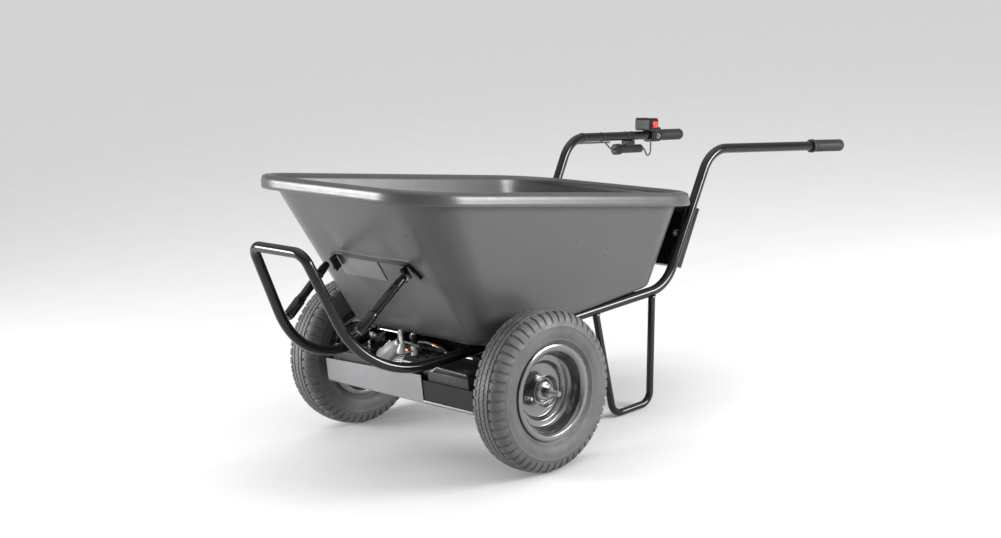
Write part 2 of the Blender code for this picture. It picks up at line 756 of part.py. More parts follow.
def differential():
    """A cage with a cross pin, two planet gears and two side gears, and the half shafts."""
    apex = (CARRIER_X, 0, AXLE_Z)
    cage = turned(
        "differential_carrier",
        [
            (0.0150, 0.0225), (0.0150, 0.0165), (0.0235, 0.0165), (0.0235, -0.0225),
            (0.0285, -0.0225), (0.0285, -0.0275), (0.0150, -0.0275), (0.0150, -0.0400),
            (0.0088, -0.0400), (0.0088, -0.0120), (0.0190, -0.0120), (0.0190, 0.0120),
            (0.0088, 0.0120), (0.0088, 0.0225),
        ],
        GEAR_STEEL,
        apex,
        ALONG_X,
        steps=16,
    )
    window = box_mesh((0.018, 0.060, 0.020))
    boolean(cage, "DIFFERENCE", window, apex)
    pin_hole = rod_mesh(0.0033, 0.060, 12)
    boolean(cage, "DIFFERENCE", pin_hole, apex)
    rod("differential_pin", 0.0030, 0.0460, GEAR_STEEL, apex, sides=12)
    planet_mesh = bevel_mesh(PLANET_TEETH, BEVEL_MODULE, SIDE_PITCH, BEVEL_FACE)
    for name, tilt in (("upper", 0.0), ("lower", pi)):
        planet = add(
            f"planet_gear_{name}",
            planet_mesh.copy(),
            GEAR_STEEL,
            apex,
            (Matrix.Rotation(tilt, 3, "X") @ Matrix.Rotation(pi / PLANET_TEETH, 3, "Z")).to_euler(),
            smooth=False,
        )
        boolean(planet, "DIFFERENCE", rod_mesh(0.0033, 0.060, 12), apex)
    side_mesh = bevel_mesh(SIDE_TEETH, BEVEL_MODULE, PLANET_PITCH, BEVEL_FACE)
    for name, side in SIDES:
        gear = add(
            f"side_gear_{name}",
            side_mesh.copy(),
            GEAR_STEEL,
            apex,
            about_x(pi / 2, side),
            smooth=False,
        )
        boolean(gear, "DIFFERENCE", rod_mesh(0.0055, 0.060, 12), apex, ALONG_X)


def half_shafts():
    """Each shaft runs from its side gear to the thread outside its wheel, in a fixed axle tube."""
    for name, side in SIDES:
        inner = CARRIER_X * side
        hub_end = HALF_TRACK + 0.0175
        end = HALF_TRACK + 0.0620
        profile = [
            (0.0, end), (0.0060, end), (0.0075, end - 0.0015), (0.0075, hub_end),
            (SHAFT_RADIUS, hub_end), (SHAFT_RADIUS, inner + 0.0430), (0.0080, inner + 0.0430),
            (0.0080, inner + 0.0113), (0.0052, inner + 0.0113), (0.0052, inner + 0.0075),
            (0.0, inner + 0.0075),
        ]
        axis = (0, side * pi / 2, 0)
        turned(f"half_shaft_{name}", profile, GEAR_STEEL, (0, 0, AXLE_Z), axis, steps=16)
        low = (CASE_LEFT if side > 0 else -CASE_RIGHT) + GAP
        high = 0.3000
        tube = turned(
            f"axle_tube_{name}",
            ring_profile(0.0140, AXLE_TUBE_RADIUS, low, high),
            BLACK_PAINT,
            (0, 0, AXLE_Z),
            axis,
            steps=20,
        )
        hanger = box_mesh((0.006, 0.040, 0.062))
        boolean(tube, "UNION", hanger, (side * 0.2000, 0.0, 0.2475))
        boolean(tube, "DIFFERENCE", rod_mesh(0.0140, 0.700, 20), (0, 0, AXLE_Z), ALONG_X)


def motor():
    """The motor's can and end cap, and its armature on a shaft."""
    can_start, can_end = CASE_WALL_X + GAP, 0.0750
    centre = (0, *MOTOR_YZ)
    turned(
        "motor_housing",
        [
            (MOTOR_RADIUS, can_end), (MOTOR_RADIUS, can_start), (0.0060, can_start),
            (0.0060, can_start + 0.003), (0.0350, can_start + 0.003), (0.0350, can_end),
        ],
        BLACK_PAINT,
        centre,
        ALONG_X,
    )
    cap_end = 0.1000
    turned(
        "motor_end_cap",
        [
            (0.0, cap_end), (0.0300, cap_end), (0.0400, cap_end - 0.004), (0.0430, cap_end - 0.010),
            (0.0430, can_end + GAP), (0.0380, can_end + GAP), (0.0380, cap_end - 0.008),
            (0.0, cap_end - 0.005),
        ],
        BLACK_PLASTIC,
        centre,
        ALONG_X,
    )
    turned(
        "motor_armature",
        [
            (0.0140, 0.0680), (0.0140, 0.0550), (0.0100, 0.0550), (0.0100, 0.0520),
            (0.0330, 0.0480), (0.0330, -0.0240), (0.0100, -0.0280), (0.0043, -0.0280),
            (0.0043, 0.0680),
        ],
        COPPER,
        centre,
        ALONG_X,
        steps=16,
    )
    turned(
        "motor_shaft",
        [
            (0.0, 0.0850), (0.0040, 0.0850), (0.0040, -0.0400), (0.0028, -0.0400),
            (0.0028, -0.0770), (0.0, -0.0770),
        ],
        GEAR_STEEL,
        centre,
        ALONG_X,
        steps=12,
    )


LEVER_AT = (-0.0260, -0.1040)            # of its post, which stands on the motor
LEVER_Z, LEVER_REACH = 0.3195, 0.0880
POST_TOP = LEVER_Z + 0.0100


def freewheel_lever():
    """A post saddled on the motor, and the lever that swings on its waist."""
    saddle = MOTOR_YZ[1] + 0.0250
    post = turned(
        "lever_post",
        [
            (0.0, POST_TOP), (0.0060, POST_TOP), (0.0075, POST_TOP - 0.0015),
            (0.0075, LEVER_Z + 0.0045), (0.0035, LEVER_Z + 0.0040), (0.0035, LEVER_Z - 0.0035),
            (0.0080, LEVER_Z - 0.0035), (0.0080, saddle), (0.0, saddle),
        ],
        BRIGHT_STEEL,
        (*LEVER_AT, 0),
        steps=12,
    )
    motor_bed = rod_mesh(MOTOR_RADIUS + GAP, 0.060, 48)
    boolean(post, "DIFFERENCE", motor_bed, (LEVER_AT[0], *MOTOR_YZ), ALONG_X)
    pivot = empty("lever_pivot", (*LEVER_AT, LEVER_Z), parent=DATUM)
    eye = as_mesh(
        plate(
            "freewheel_lever", circle(0.0085, 16), 0.006, BRIGHT_STEEL, (0, 0, 0),
            holes=(circle(0.0038, 12),), parent=pivot,
        )
    )
    arm = rod_mesh(0.0030, LEVER_REACH - 0.006, 10)
    boolean(eye, "UNION", arm, (-(LEVER_REACH + 0.006) / 2, 0, 0), ALONG_X, pivot)


# ---------------------------------------------------------------- wheels


def both_walls(half):
    """A tyre section's half mirrored to the other wall, as one line from wall to wall."""
    return half + [(radius, -x) for radius, x in reversed(half)]


def wheels():
    """Each wheel: tyre, two nested rim halves, hub and nut, about an outward-facing axis."""
    outer = [
        (BEAD_RADIUS, 0.0240), (BEAD_RADIUS, 0.0365), (0.1190, 0.0392), (0.1370, 0.0480),
        (0.1600, TYRE_WIDTH / 2), (0.1830, 0.0440), (0.1945, 0.0350), (WHEEL_RADIUS, 0.0120),
    ]
    inner = [
        (0.1080, 0.0260), (0.1300, 0.0380), (0.1600, 0.0410), (0.1840, 0.0320), (0.1915, 0.0110),
    ]
    tyre = both_walls(outer) + both_walls(inner)[::-1]
    flange = [(0.0985, 0.0240), (0.0985, 0.0365), (0.1035, 0.0425), (0.1180, 0.0445)]
    dished = [
        (0.0295, -0.0075), (0.0660, -0.0075), (0.0740, 0.0035), (0.0880, 0.0035),
        (0.0925, 0.0090), *flange,
    ]
    nested = [
        (0.0295, 0.0128), (0.0687, 0.0128), (0.0767, 0.0018), (0.0885, 0.0018),
        (0.0925, 0.0090), *flange,
    ]
    for name, side in SIDES:
        hub = empty(f"hub_{name}_centre", (side * HALF_TRACK, 0, AXLE_Z), parent=DATUM)
        hub.rotation_euler = (0, 0, 0 if side > 0 else pi)
        turned(f"tyre_{name}", tyre, TYRE_RUBBER, rotation=ALONG_X, parent=hub, steps=28)
        turned(
            f"rim_outer_{name}", sheet_profile(dished, SHEET), RIM_STEEL,
            rotation=ALONG_X, parent=hub, steps=20,
        )
        turned(
            f"rim_inner_{name}", sheet_profile(nested, SHEET), RIM_STEEL,
            rotation=(0, -pi / 2, 0), parent=hub, steps=20,
        )
        turned(
            f"hub_{name}",
            [
                (0.0180, 0.0175), (0.0270, 0.0140), (0.0290, -0.0131), (0.0460, -0.0131),
                (0.0460, -0.0200), (0.0290, -0.0200), (0.0250, -0.0480), (0.0113, -0.0480),
                (0.0113, 0.0175),
            ],
            CAST_ALUMINIUM,
            rotation=ALONG_X,
            parent=hub,
            steps=16,
        )
        plate(
            f"hub_nut_{name}", circle(0.0150, 6), 0.0130, BRIGHT_STEEL,
            (0.0245, 0, 0), about_x(), (circle(0.0078, 12),), hub,
        )


# ---------------------------------------------------------------- handles and controls


def along_handle(side, back):
    """A point on a handle's centre line, a distance back from its end, and its direction."""
    end = Vector(mirrored(HANDLE_END, side))
    bend = Vector(mirrored(HANDLE_BEND, side))
    run = (end - bend).normalized()
    return end - run * back, run


def handle_frame(name, side, back):
    """An empty on a handle with its Z along the handle to the rear and its X across, upright in Y."""
    point, run = along_handle(side, back)
    across = Vector((0, 0, 1)).cross(run).normalized()
    up = run.cross(across)
    turn = Matrix((across, up, run)).transposed()
    return empty(name, point, turn.to_euler(), DATUM)


def grip_profile(length, radius):
    """A grip's section: a collar at the front, a closed and rounded rear end."""
    bore = TUBE_RADIUS + GAP
    return [
        (0.0, length), (radius - 0.003, length), (radius, length - 0.003), (radius, 0.012),
        (radius + 0.002, 0.010), (radius + 0.002, 0.0), (bore, 0.0), (bore, length - 0.004),
        (0.0, length - 0.004),
    ]


# distances along a handle, back from its end
GRIP_TAIL = 0.005                # of a grip beyond the tube's end
LEFT_GRIP_LENGTH = 0.1265
THROTTLE_LENGTH = 0.1150
CLAMP_BACK = 0.1320
CLAMP_LENGTH = 0.0400
HOUSING_AHEAD = 0.0300           # of the upper box from its clamp
HOUSING_LENGTH = 0.0440
FUSE_BACK = 0.2510
FUSE_DROP = 0.0390               # of the fuse holder's axis below the handle's
LEAD_RADIUS = 0.0025


def throttle_housing():
    """A clamp on the right handle carries a wider box, with a thumb button on its inner face."""
    mount = handle_frame("throttle_mount", -1, CLAMP_BACK)
    clamp = box_mesh((0.038, 0.044, CLAMP_LENGTH), 0.004, (0, 0.003, 0))
    housing = add("throttle_housing", clamp, BLACK_PLASTIC, parent=mount, smooth=False)
    upper = box_mesh((0.060, 0.036, HOUSING_LENGTH), 0.004, (0, 0.0325, -HOUSING_AHEAD))
    boolean(housing, "UNION", upper, parent=mount)
    boolean(housing, "DIFFERENCE", rod_mesh(TUBE_RADIUS + GAP, 0.100, 20), parent=mount)
    well = box_mesh((0.018, 0.0200, 0.0260), centre=(-0.031, 0.0340, -HOUSING_AHEAD))
    boolean(housing, "DIFFERENCE", well, parent=mount)
    button = box_mesh((0.0105, 0.0194, 0.0254), 0.0020, (-0.03075, 0.0340, -HOUSING_AHEAD))
    add("red_button", button, RED_PLASTIC, parent=mount, smooth=False)


def fuse_and_leads():
    """The fuse holder hangs under the right handle, with a lead at each end."""
    fuse = handle_frame("fuse_frame", -1, FUSE_BACK)
    rear, front = 0.0640, -0.0680
    section = [
        (0.0, rear), (0.0095, rear), (0.0125, rear - 0.005), (0.0125, front + 0.027),
        (0.0165, front + 0.025), (0.0165, front + 0.003), (0.0125, front), (0.0, front),
    ]
    axis = (0, -FUSE_DROP, 0)
    holder = turned("fuse_holder", section, BLACK_PLASTIC, axis, parent=fuse, steps=16)
    saddle_top, saddle_low = -TUBE_RADIUS - GAP, -FUSE_DROP + 0.008
    saddle = box_mesh((0.020, saddle_top - saddle_low, 0.042))
    boolean(holder, "UNION", saddle, (0, (saddle_top + saddle_low) / 2, 0), parent=fuse)
    riser = FUSE_BACK - CLAMP_BACK - 0.008
    under_clamp = -0.019 - LEAD_RADIUS / 2
    route = [
        (0, -FUSE_DROP, rear + GAP), (0, -FUSE_DROP, rear + 0.014),
        (0, -0.0640, rear + 0.030), (0, -0.0560, riser), (0, under_clamp, riser),
    ]
    pipe("throttle_lead", rounded_path(route, (0.010, 0.009, 0.014)), LEAD_RADIUS,
         BLACK_PLASTIC, parent=fuse)
    under_tube = -TUBE_RADIUS - LEAD_RADIUS - 0.001
    route = [
        (0, -FUSE_DROP, front - GAP), (0, -FUSE_DROP, front - 0.012),
        (0, under_tube, front - 0.044), (0, under_tube, front - 0.058),
    ]
    pipe("fuse_lead", rounded_path(route, (0.012, 0.012)), LEAD_RADIUS, BLACK_PLASTIC, parent=fuse)


def grips():
    """A plain grip on the left handle and the throttle's twist grip on the right one."""
    for name, length, side in (
        ("left_grip", LEFT_GRIP_LENGTH, 1),
        ("throttle_grip", THROTTLE_LENGTH, -1),
    ):
        start = handle_frame(f"{name}_frame", side, length - GRIP_TAIL)
        profile = grip_profile(length, GRIP_RADIUS)
        turned(name, profile, GRIP_RUBBER, parent=start, steps=20)


# ---------------------------------------------------------------- rear panel

RISER_LEAN = atan2(HANDLE_BEND[1] - RAIL_END[1], HANDLE_BEND[2] - RAIL_END[2])
REAR_PANEL = (0.524, 0.022, 0.170)
REAR_PANEL_RISE = 0.150          # its middle's distance up the risers
CONTROLLER = (0.180, 0.032, 0.110)


def rear_panel():
    """A folded panel across the back of the risers, with the controller's case on its rear face."""
    base = Vector((0, RAIL_END[1], RAIL_END[2]))
    up = Vector((0, sin(RISER_LEAN), cos(RISER_LEAN)))
    out = Vector((0, cos(RISER_LEAN), -sin(RISER_LEAN)))
    width, depth, height = REAR_PANEL
    middle = base + up * REAR_PANEL_RISE + out * (TUBE_RADIUS + GAP + depth / 2)
    lie = (-RISER_LEAN, 0, 0)
    panel = box("rear_panel", REAR_PANEL, BLACK_PAINT, middle, lie, bevel=0.003)
    hollow = box_mesh((width - 0.008, depth, height - 0.008))
    boolean(panel, "DIFFERENCE", hollow, middle - out * 0.003, lie)
    ledge = middle + out * ((depth + CONTROLLER[1]) / 2 + GAP)
    box("controller_case", CONTROLLER, BLACK_PLASTIC, ledge, lie, bevel=0.004)


# ---------------------------------------------------------------- build


tub()
frame()
cross_bars()
front_bracket()
struts()
battery_pan()
gearbox()
gear_train()
differential()
half_shafts()
motor()
freewheel_lever()
wheels()
grips()
throttle_housing()
fuse_and_leads()
rear_panel()
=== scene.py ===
"""Power wheelbarrow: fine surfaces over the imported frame, on a pale floor in soft studio light.

Metres, +Z up. Lengths are measured as in the CAD, from a datum on the ground midway between the
wheels, at AXLE_Y in the world. The nose points to -Y. A shape is a (points, faces) pair.
"""

from math import atan2, cos, exp, hypot, pi, radians, sin, tan

import bmesh
import bpy
from mathutils import Matrix, Vector


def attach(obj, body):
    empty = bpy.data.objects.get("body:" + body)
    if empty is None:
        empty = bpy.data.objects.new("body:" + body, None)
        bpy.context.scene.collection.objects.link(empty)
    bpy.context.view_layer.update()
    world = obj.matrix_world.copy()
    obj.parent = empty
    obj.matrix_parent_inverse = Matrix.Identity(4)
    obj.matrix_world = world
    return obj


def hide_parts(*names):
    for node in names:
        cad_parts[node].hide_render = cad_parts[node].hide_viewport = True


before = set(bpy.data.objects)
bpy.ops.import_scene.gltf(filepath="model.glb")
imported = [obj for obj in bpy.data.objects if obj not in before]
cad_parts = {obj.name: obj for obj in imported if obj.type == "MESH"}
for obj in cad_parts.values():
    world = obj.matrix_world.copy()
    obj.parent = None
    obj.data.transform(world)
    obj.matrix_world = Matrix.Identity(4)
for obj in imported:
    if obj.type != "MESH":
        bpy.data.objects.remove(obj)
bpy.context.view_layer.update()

# ---------------------------------------------------------------- sizes shared with the CAD
AXLE_Y = -0.4188
AXLE_Z = WHEEL_RADIUS = 0.2
HALF_TRACK = 0.3605
TUBE_RADIUS, LEG_RADIUS = 0.013, 0.0095
GAP = 0.0003  # between parts that lie against each other

# The left side's tube corners, from the nose loop to the handle's end, and their bend radii.
LOOP_TOP = (0.1, -0.466, 0.623)
LOOP_BOTTOM = (0.132, -0.347, 0.279)
SPLICE = (0.2111, 0.1, 0.2967)
RAIL_END = (0.26, 0.58, 0.3067)
HANDLE_BEND = (0.266, 0.795, 0.64)
HANDLE_END = (0.3058, 1.309, 0.555)
LOOP_BENDS = (0.235, 0.034, 0.034, 0.235)
HANDLE_BENDS = (0.105, 0.09)
LEG = ((0.237, 0.3325, 0.2868), (0.243, 0.358, 0.0095), (0.253, 0.489, 0.0095),
       (0.258, 0.525, 0.2903))
LEG_BEND, LEG_OVERRUN = 0.034, 0.004

# The tub's floor and rim: edges along Y, half width, heights and corner radii.
TUB_WALL = 0.004
FLOOR_FRONT, FLOOR_REAR, FLOOR_HALF = -0.08, 0.545, 0.26
FLOOR_FRONT_Z, FLOOR_REAR_Z = 0.3085, 0.3193
RIM_FRONT, RIM_REAR, RIM_HALF = -0.289, 0.668, 0.319
RIM_FRONT_Z, RIM_REAR_Z = 0.733, 0.533
FLOOR_CORNER, RIM_CORNER = 0.06, 0.125
WALL_LEAN = atan2(FLOOR_FRONT - RIM_FRONT, RIM_FRONT_Z - FLOOR_FRONT_Z)
# A dimple in the front wall on each side, and the bolts through the floor.
DENT_X, DENT_Z, DENT_DEPTH, DENT_REACH = 0.118, 0.572, 0.0035, 0.03
FLOOR_SLOPE, FLOOR_BOLTS = 0.0186, ((0.15, 0.075), (0.185, 0.47))

BRACKET_Z, BRACKET_HALF, BRACKET_DEPTH = 0.5425, 0.15, 0.008
EAR_X, EAR_INNER, EAR_OUTER = 0.137, 0.005, 0.026
STRUT_FOOT, STRUT_HEAD = (0.14, -0.364, 0.413), (0.15, -0.215, 0.515)

PAN_HALF, PAN_FRONT, PAN_Z, SHEET = 0.283, -0.156, 0.169, 0.0025
BATTERY = (0.151, 0.096, 0.095)
BATTERY_X, BATTERY_Y = 0.19, -0.101

# Shaft places in (y, z), and the case's round ends about them.
DRIVE_ANGLE = pi - radians(22.4)
IDLER = (0.0525 * cos(DRIVE_ANGLE), AXLE_Z + 0.0525 * sin(DRIVE_ANGLE))
MOTOR = (0.093 * cos(DRIVE_ANGLE), AXLE_Z + 0.093 * sin(DRIVE_ANGLE))
CASE_ROUNDS = (((0.0, AXLE_Z), 0.051), (IDLER, 0.042), (MOTOR, 0.043))
LEVER_AT, LEVER_Z, LEVER_REACH = (-0.026, -0.104), 0.3195, 0.088

# Lengths along the handle from its end, and the button's place on the throttle clamp.
GRIP_TAIL, LEFT_GRIP_LENGTH, THROTTLE_LENGTH, RIB_PITCH = 0.005, 0.1265, 0.115, 0.0036
CLAMP_BACK, FUSE_BACK, FUSE_DROP = 0.132, 0.251, 0.039
BUTTON_AT = (-0.03075, 0.034, -0.03)

SIDES = (("left", 1), ("right", -1))

# ---------------------------------------------------------------- materials


def add_node(tree, kind, inputs=(), **settings):
    """Add a shader node with its properties and its (socket, value or output) inputs."""
    made = tree.nodes.new(kind)
    for key, value in settings.items():
        setattr(made, key, value)
    for socket, source in inputs:
        if isinstance(source, bpy.types.NodeSocket):
            tree.links.new(source, made.inputs[socket])
        else:
            made.inputs[socket].default_value = source
    return made


def noise_texture(tree, where, scale, detail=3.0, roughness=0.55):
    """A noise texture's value."""
    inputs = (("Vector", where), ("Scale", scale), ("Detail", detail), ("Roughness", roughness))
    return add_node(tree, "ShaderNodeTexNoise", inputs).outputs["Fac"]


def remap(tree, value, low, high, to_low, to_high):
    """A value's range stretched to another, and held at its ends."""
    inputs = ((0, value), (1, low), (2, high), (3, to_low), (4, to_high))
    return add_node(tree, "ShaderNodeMapRange", inputs).outputs[0]


def blended(tree, factor, first, second, mode="MIX"):
    """A mix of two colours by a factor."""
    inputs = ((0, factor), (6, first), (7, second))
    return add_node(tree, "ShaderNodeMix", inputs, data_type="RGBA", blend_type=mode).outputs[2]


def surface(name, colour, roughness, metallic=0.0, coat=0.0, spread=0.18, patch=7.0,
            grain=500.0, depth=0.08, stretch=(1, 1, 1), dust=0.0, wear=0.0, rough_spread=0.1,
            specular=0.5):
    """A finish with uneven tone and gloss, a fine grain, worn edges and settled dust."""
    made = bpy.data.materials.new(name)
    made.use_nodes = True
    tree = made.node_tree
    shader = tree.nodes["Principled BSDF"]
    where = add_node(tree, "ShaderNodeTexCoord").outputs["Object"]
    drawn = add_node(tree, "ShaderNodeMapping", (("Vector", where), ("Scale", stretch)))
    drawn = drawn.outputs["Vector"]
    patches = noise_texture(tree, where, patch, 4.0)
    share = remap(tree, patches, 0.35, 0.65, 0.0, 1.0)
    dark = (*[c * (1 - spread) for c in colour], 1)
    light = (*[min(c * (1 + spread), 1.0) for c in colour], 1)
    tone = blended(tree, share, dark, light)
    if wear:
        geometry = add_node(tree, "ShaderNodeNewGeometry")
        edge = remap(tree, geometry.outputs["Pointiness"], 0.53, 0.6, 0.0, wear)
        broken = remap(tree, noise_texture(tree, where, 160.0, 5.0), 0.42, 0.6, 0.0, 1.0)
        worn = add_node(tree, "ShaderNodeMath", ((0, edge), (1, broken)), operation="MULTIPLY")
        tone = blended(tree, worn.outputs[0], tone, (0.3, 0.29, 0.28, 1))
    if dust:
        geometry = add_node(tree, "ShaderNodeNewGeometry")
        upright = add_node(tree, "ShaderNodeSeparateXYZ", ((0, geometry.outputs["Normal"]),))
        facing = remap(tree, upright.outputs["Z"], 0.1, 1.0, 0.15, 1.0)
        cloud = remap(tree, noise_texture(tree, where, 24.0, 6.0, 0.7), 0.4, 0.75, 0.0, dust)
        settled = add_node(tree, "ShaderNodeMath", ((0, facing), (1, cloud)), operation="MULTIPLY")
        tone = blended(tree, settled.outputs[0], tone, (0.36, 0.34, 0.31, 1))
    tree.links.new(tone, shader.inputs["Base Color"])
    gloss = noise_texture(tree, where, patch * 5, 5.0, 0.65)
    low, high = max(roughness - rough_spread, 0.04), min(roughness + rough_spread, 1.0)
    tree.links.new(remap(tree, gloss, 0.3, 0.7, low, high), shader.inputs["Roughness"])
    fine = noise_texture(tree, drawn, grain, 3.0)
    bump = add_node(
        tree, "ShaderNodeBump", (("Strength", depth), ("Distance", 0.0006), ("Height", fine))
    )
    tree.links.new(bump.outputs["Normal"], shader.inputs["Normal"])
    shader.inputs["Metallic"].default_value = metallic
    shader.inputs["Specular IOR Level"].default_value = specular
    shader.inputs["Coat Weight"].default_value = coat
    shader.inputs["Coat Roughness"].default_value = 0.12
    return made


TUB_GREY = surface("tub_grey_plastic", (0.056, 0.056, 0.058), 0.32, spread=0.06, patch=3.0,
                   grain=900.0, depth=0.22, wear=0.2, dust=0.06, rough_spread=0.05)
BLACK_PAINT = surface("black_paint", (0.006, 0.006, 0.007), 0.14, spread=0.2, grain=260.0,
                      depth=0.03, dust=0.02, rough_spread=0.05, specular=0.36)
PAN_PAINT = surface("pan_black_paint", (0.008, 0.008, 0.009), 0.42, spread=0.2, grain=260.0,
                    depth=0.06, dust=0.03, specular=0.2)
PLAIN_STEEL = surface("galvanised_steel", (0.21, 0.212, 0.216), 0.42, 0.95, grain=260.0,
                      depth=0.1, spread=0.05, stretch=(1, 9, 9), rough_spread=0.06)
ZINC = surface("zinc_plate", (0.46, 0.46, 0.45), 0.26, 1.0, grain=700.0, depth=0.06, spread=0.08)
RIM_ENAMEL = surface("rim_enamel", (0.165, 0.165, 0.17), 0.2, 0.85, coat=0.5, spread=0.07,
                     grain=350.0, depth=0.03, dust=0.06, rough_spread=0.05)
CAST = surface("cast_aluminium", (0.36, 0.36, 0.365), 0.42, 0.4, grain=420.0, depth=0.45,
               spread=0.12, patch=20.0)
DARK_STEEL = surface("machined_steel", (0.26, 0.255, 0.25), 0.28, 1.0, grain=300.0,
                     stretch=(6, 1, 1), depth=0.12)
TYRE = surface("tyre_rubber", (0.072, 0.072, 0.074), 0.6, spread=0.2, patch=11.0, grain=650.0,
               depth=0.22, dust=0.4, rough_spread=0.12)
GRIP = surface("grip_rubber", (0.016, 0.016, 0.017), 0.5, spread=0.15, grain=800.0, depth=0.2,
               dust=0.03, specular=0.3)
BLACK_PLASTIC = surface("black_plastic", (0.01, 0.01, 0.011), 0.45, spread=0.2, grain=900.0,
                        depth=0.2, dust=0.04, specular=0.3)
RED_PLASTIC = surface("red_plastic", (0.58, 0.03, 0.045), 0.26, coat=0.4, spread=0.1,
                      grain=500.0, depth=0.05)
COPPER = surface("copper", (0.56, 0.27, 0.16), 0.3, 1.0, spread=0.12, grain=400.0, depth=0.1)
CABLE = surface("cable_sheath", (0.05, 0.05, 0.052), 0.38, spread=0.1, grain=500.0, depth=0.05)

# ---------------------------------------------------------------- shapes


def bent(points, radius, step=radians(6)):
    """A line with its inner corners turned to arcs; radius is one number or one for each."""
    corners = [Vector(point) for point in points]
    inner = len(corners) - 2
    radii = [radius] * inner if isinstance(radius, (int, float)) else radius
    path = [corners[0]]
    for before, corner, after, bend in zip(corners, corners[1:], corners[2:], radii):
        inward, outward = before - corner, after - corner
        turn = pi - inward.angle(outward)
        room = 0.49 * min(inward.length, outward.length)
        if turn < 0.01:
            path.append(corner)
            continue
        bend = min(bend, room / tan(turn / 2))
        inward.normalize()
        outward.normalize()
        centre = corner + (inward + outward).normalized() * bend / cos(turn / 2)
        start = corner + inward * bend * tan(turn / 2)
        axis = inward.cross(outward).normalized()
        count = max(2, round(turn / step))
        for index in range(count + 1):
            swing = Matrix.Rotation(-turn * index / count, 3, axis)
            path.append(centre + swing @ (start - centre))
    path.append(corners[-1])
    return path


def rounded_loop(points, radius, step=radians(15)):
    """A closed (a, b) outline with every corner turned to an arc."""
    flat = [Vector((a, b, 0)) for a, b in points]
    start = (flat[0] + flat[-1]) / 2
    path = bent([start, *flat, start], radius, step)
    return [(point.x, point.y) for point in path[:-1]]


def skin(rings, ends=True, closed=False):
    """Faces between rings of equal length, with flat ends."""
    points = [point for ring in rings for point in ring]
    count = len(rings[0])
    pairs = [(index, index + 1) for index in range(len(rings) - 1)]
    if closed:
        pairs.append((len(rings) - 1, 0))
    faces = []
    for low, high in pairs:
        for index in range(count):
            after = (index + 1) % count
            faces.append((low * count + index, low * count + after,
                          high * count + after, high * count + index))
    if ends and not closed:
        faces.append(tuple(range(count))[::-1])
        faces.append(tuple(range(len(points) - count, len(points))))
    return points, faces


def around(count, start=0.0):
    """Evenly spaced angles for one full turn."""
    return [start + 2 * pi * index / count for index in range(count)]


def lathe(profile, steps=64, closed=False):
    """A (radius, height) line turned about Z; with closed, the line is a loop off the axis."""
    rings = []
    for radius, height in profile:
        reach = max(radius, 0.00001)
        rings.append([Vector((reach * cos(a), reach * sin(a), height)) for a in around(steps)])
    return skin(rings, closed=closed)


def turned(profile, steps=64):
    """A solid turned about Z, whose first and last heights are flat ends."""
    return lathe([(0, profile[0][1]), *profile, (0, profile[-1][1])], steps)


def sweep(path, radius, sides=20):
    """A round bar along a path."""
    across = (path[1] - path[0]).orthogonal().normalized()
    rings = []
    for index, point in enumerate(path):
        before, after = path[max(index - 1, 0)], path[min(index + 1, len(path) - 1)]
        heading = (after - before).normalized()
        across = (across - heading * across.dot(heading)).normalized()
        other = heading.cross(across)
        rings.append([point + (across * cos(a) + other * sin(a)) * radius for a in around(sides)])
    return skin(rings)


def prism(outline, depth, edge=0.0):
    """An (x, y) outline given depth along Z about its middle, with eased edges."""
    middle_x = sum(x for x, _ in outline) / len(outline)
    middle_y = sum(y for _, y in outline) / len(outline)
    reach = max(hypot(x - middle_x, y - middle_y) for x, y in outline)
    levels = [(-depth / 2, 1.0), (depth / 2, 1.0)]
    if edge:
        small = 1 - edge / reach
        levels = [(-depth / 2, small), (edge - depth / 2, 1.0), (depth / 2 - edge, 1.0),
                  (depth / 2, small)]
    return skin([[Vector((middle_x + (x - middle_x) * scale, middle_y + (y - middle_y) * scale,
                          height)) for x, y in outline] for height, scale in levels])


def block(size, edge=0.002, segments=3):
    """A box about its centre with rounded edges."""
    work = bmesh.new()
    bmesh.ops.create_cube(work, size=1.0)
    bmesh.ops.scale(work, vec=size, verts=work.verts)
    bmesh.ops.bevel(work, geom=work.edges[:], offset=edge, segments=segments, profile=0.5,
                    affect="EDGES")
    work.verts.index_update()
    points = [vert.co.copy() for vert in work.verts]
    faces = [tuple(vert.index for vert in face.verts) for face in work.faces]
    work.free()
    return points, faces


def circle(radius, sides):
    """Points round a circle."""
    return [(radius * cos(a), radius * sin(a)) for a in around(sides)]


def toothed(teeth, inner, outer, shares):
    """A circle's outline with teeth; shares are the parts of a pitch where the radius changes."""
    outline = []
    for index in range(teeth):
        for share, radius in zip(shares, (inner, inner, outer, outer)):
            angle = 2 * pi * (index + share) / teeth
            outline.append((radius * cos(angle), radius * sin(angle)))
    return outline


def merged(*shapes):
    """Several shapes as one."""
    points, faces = [], []
    for shape_points, shape_faces in shapes:
        start = len(points)
        points += shape_points
        faces += [tuple(start + index for index in face) for face in shape_faces]
    return points, faces


def facing(direction, upright=(0, 0, 1)):
    """The rotation that points Z along a direction, with Y as near upright as it can be."""
    z = Vector(direction).normalized()
    guide = Vector(upright)
    if abs(z.dot(guide)) > 0.99:
        guide = Vector((0, 1, 0))
    x = guide.cross(z).normalized()
    return Matrix((x, z.cross(x), z)).transposed()


def at(point, heading=None, upright=(0, 0, 1)):
    """A place, turned by a rotation or with Z along a direction where one is given."""
    place = Matrix.Translation(Vector(point))
    if heading is None:
        return place
    turn = heading if isinstance(heading, Matrix) else facing(heading, upright)
    return place @ turn.to_4x4()


def moved(shape, place, heading=None, upright=(0, 0, 1)):
    """A shape, or a list of them as one, carried by a matrix or set at a point."""
    points, faces = merged(*shape) if isinstance(shape, list) else shape
    if not isinstance(place, Matrix):
        place = at(place, heading, upright)
    return [place @ Vector(point) for point in points], faces


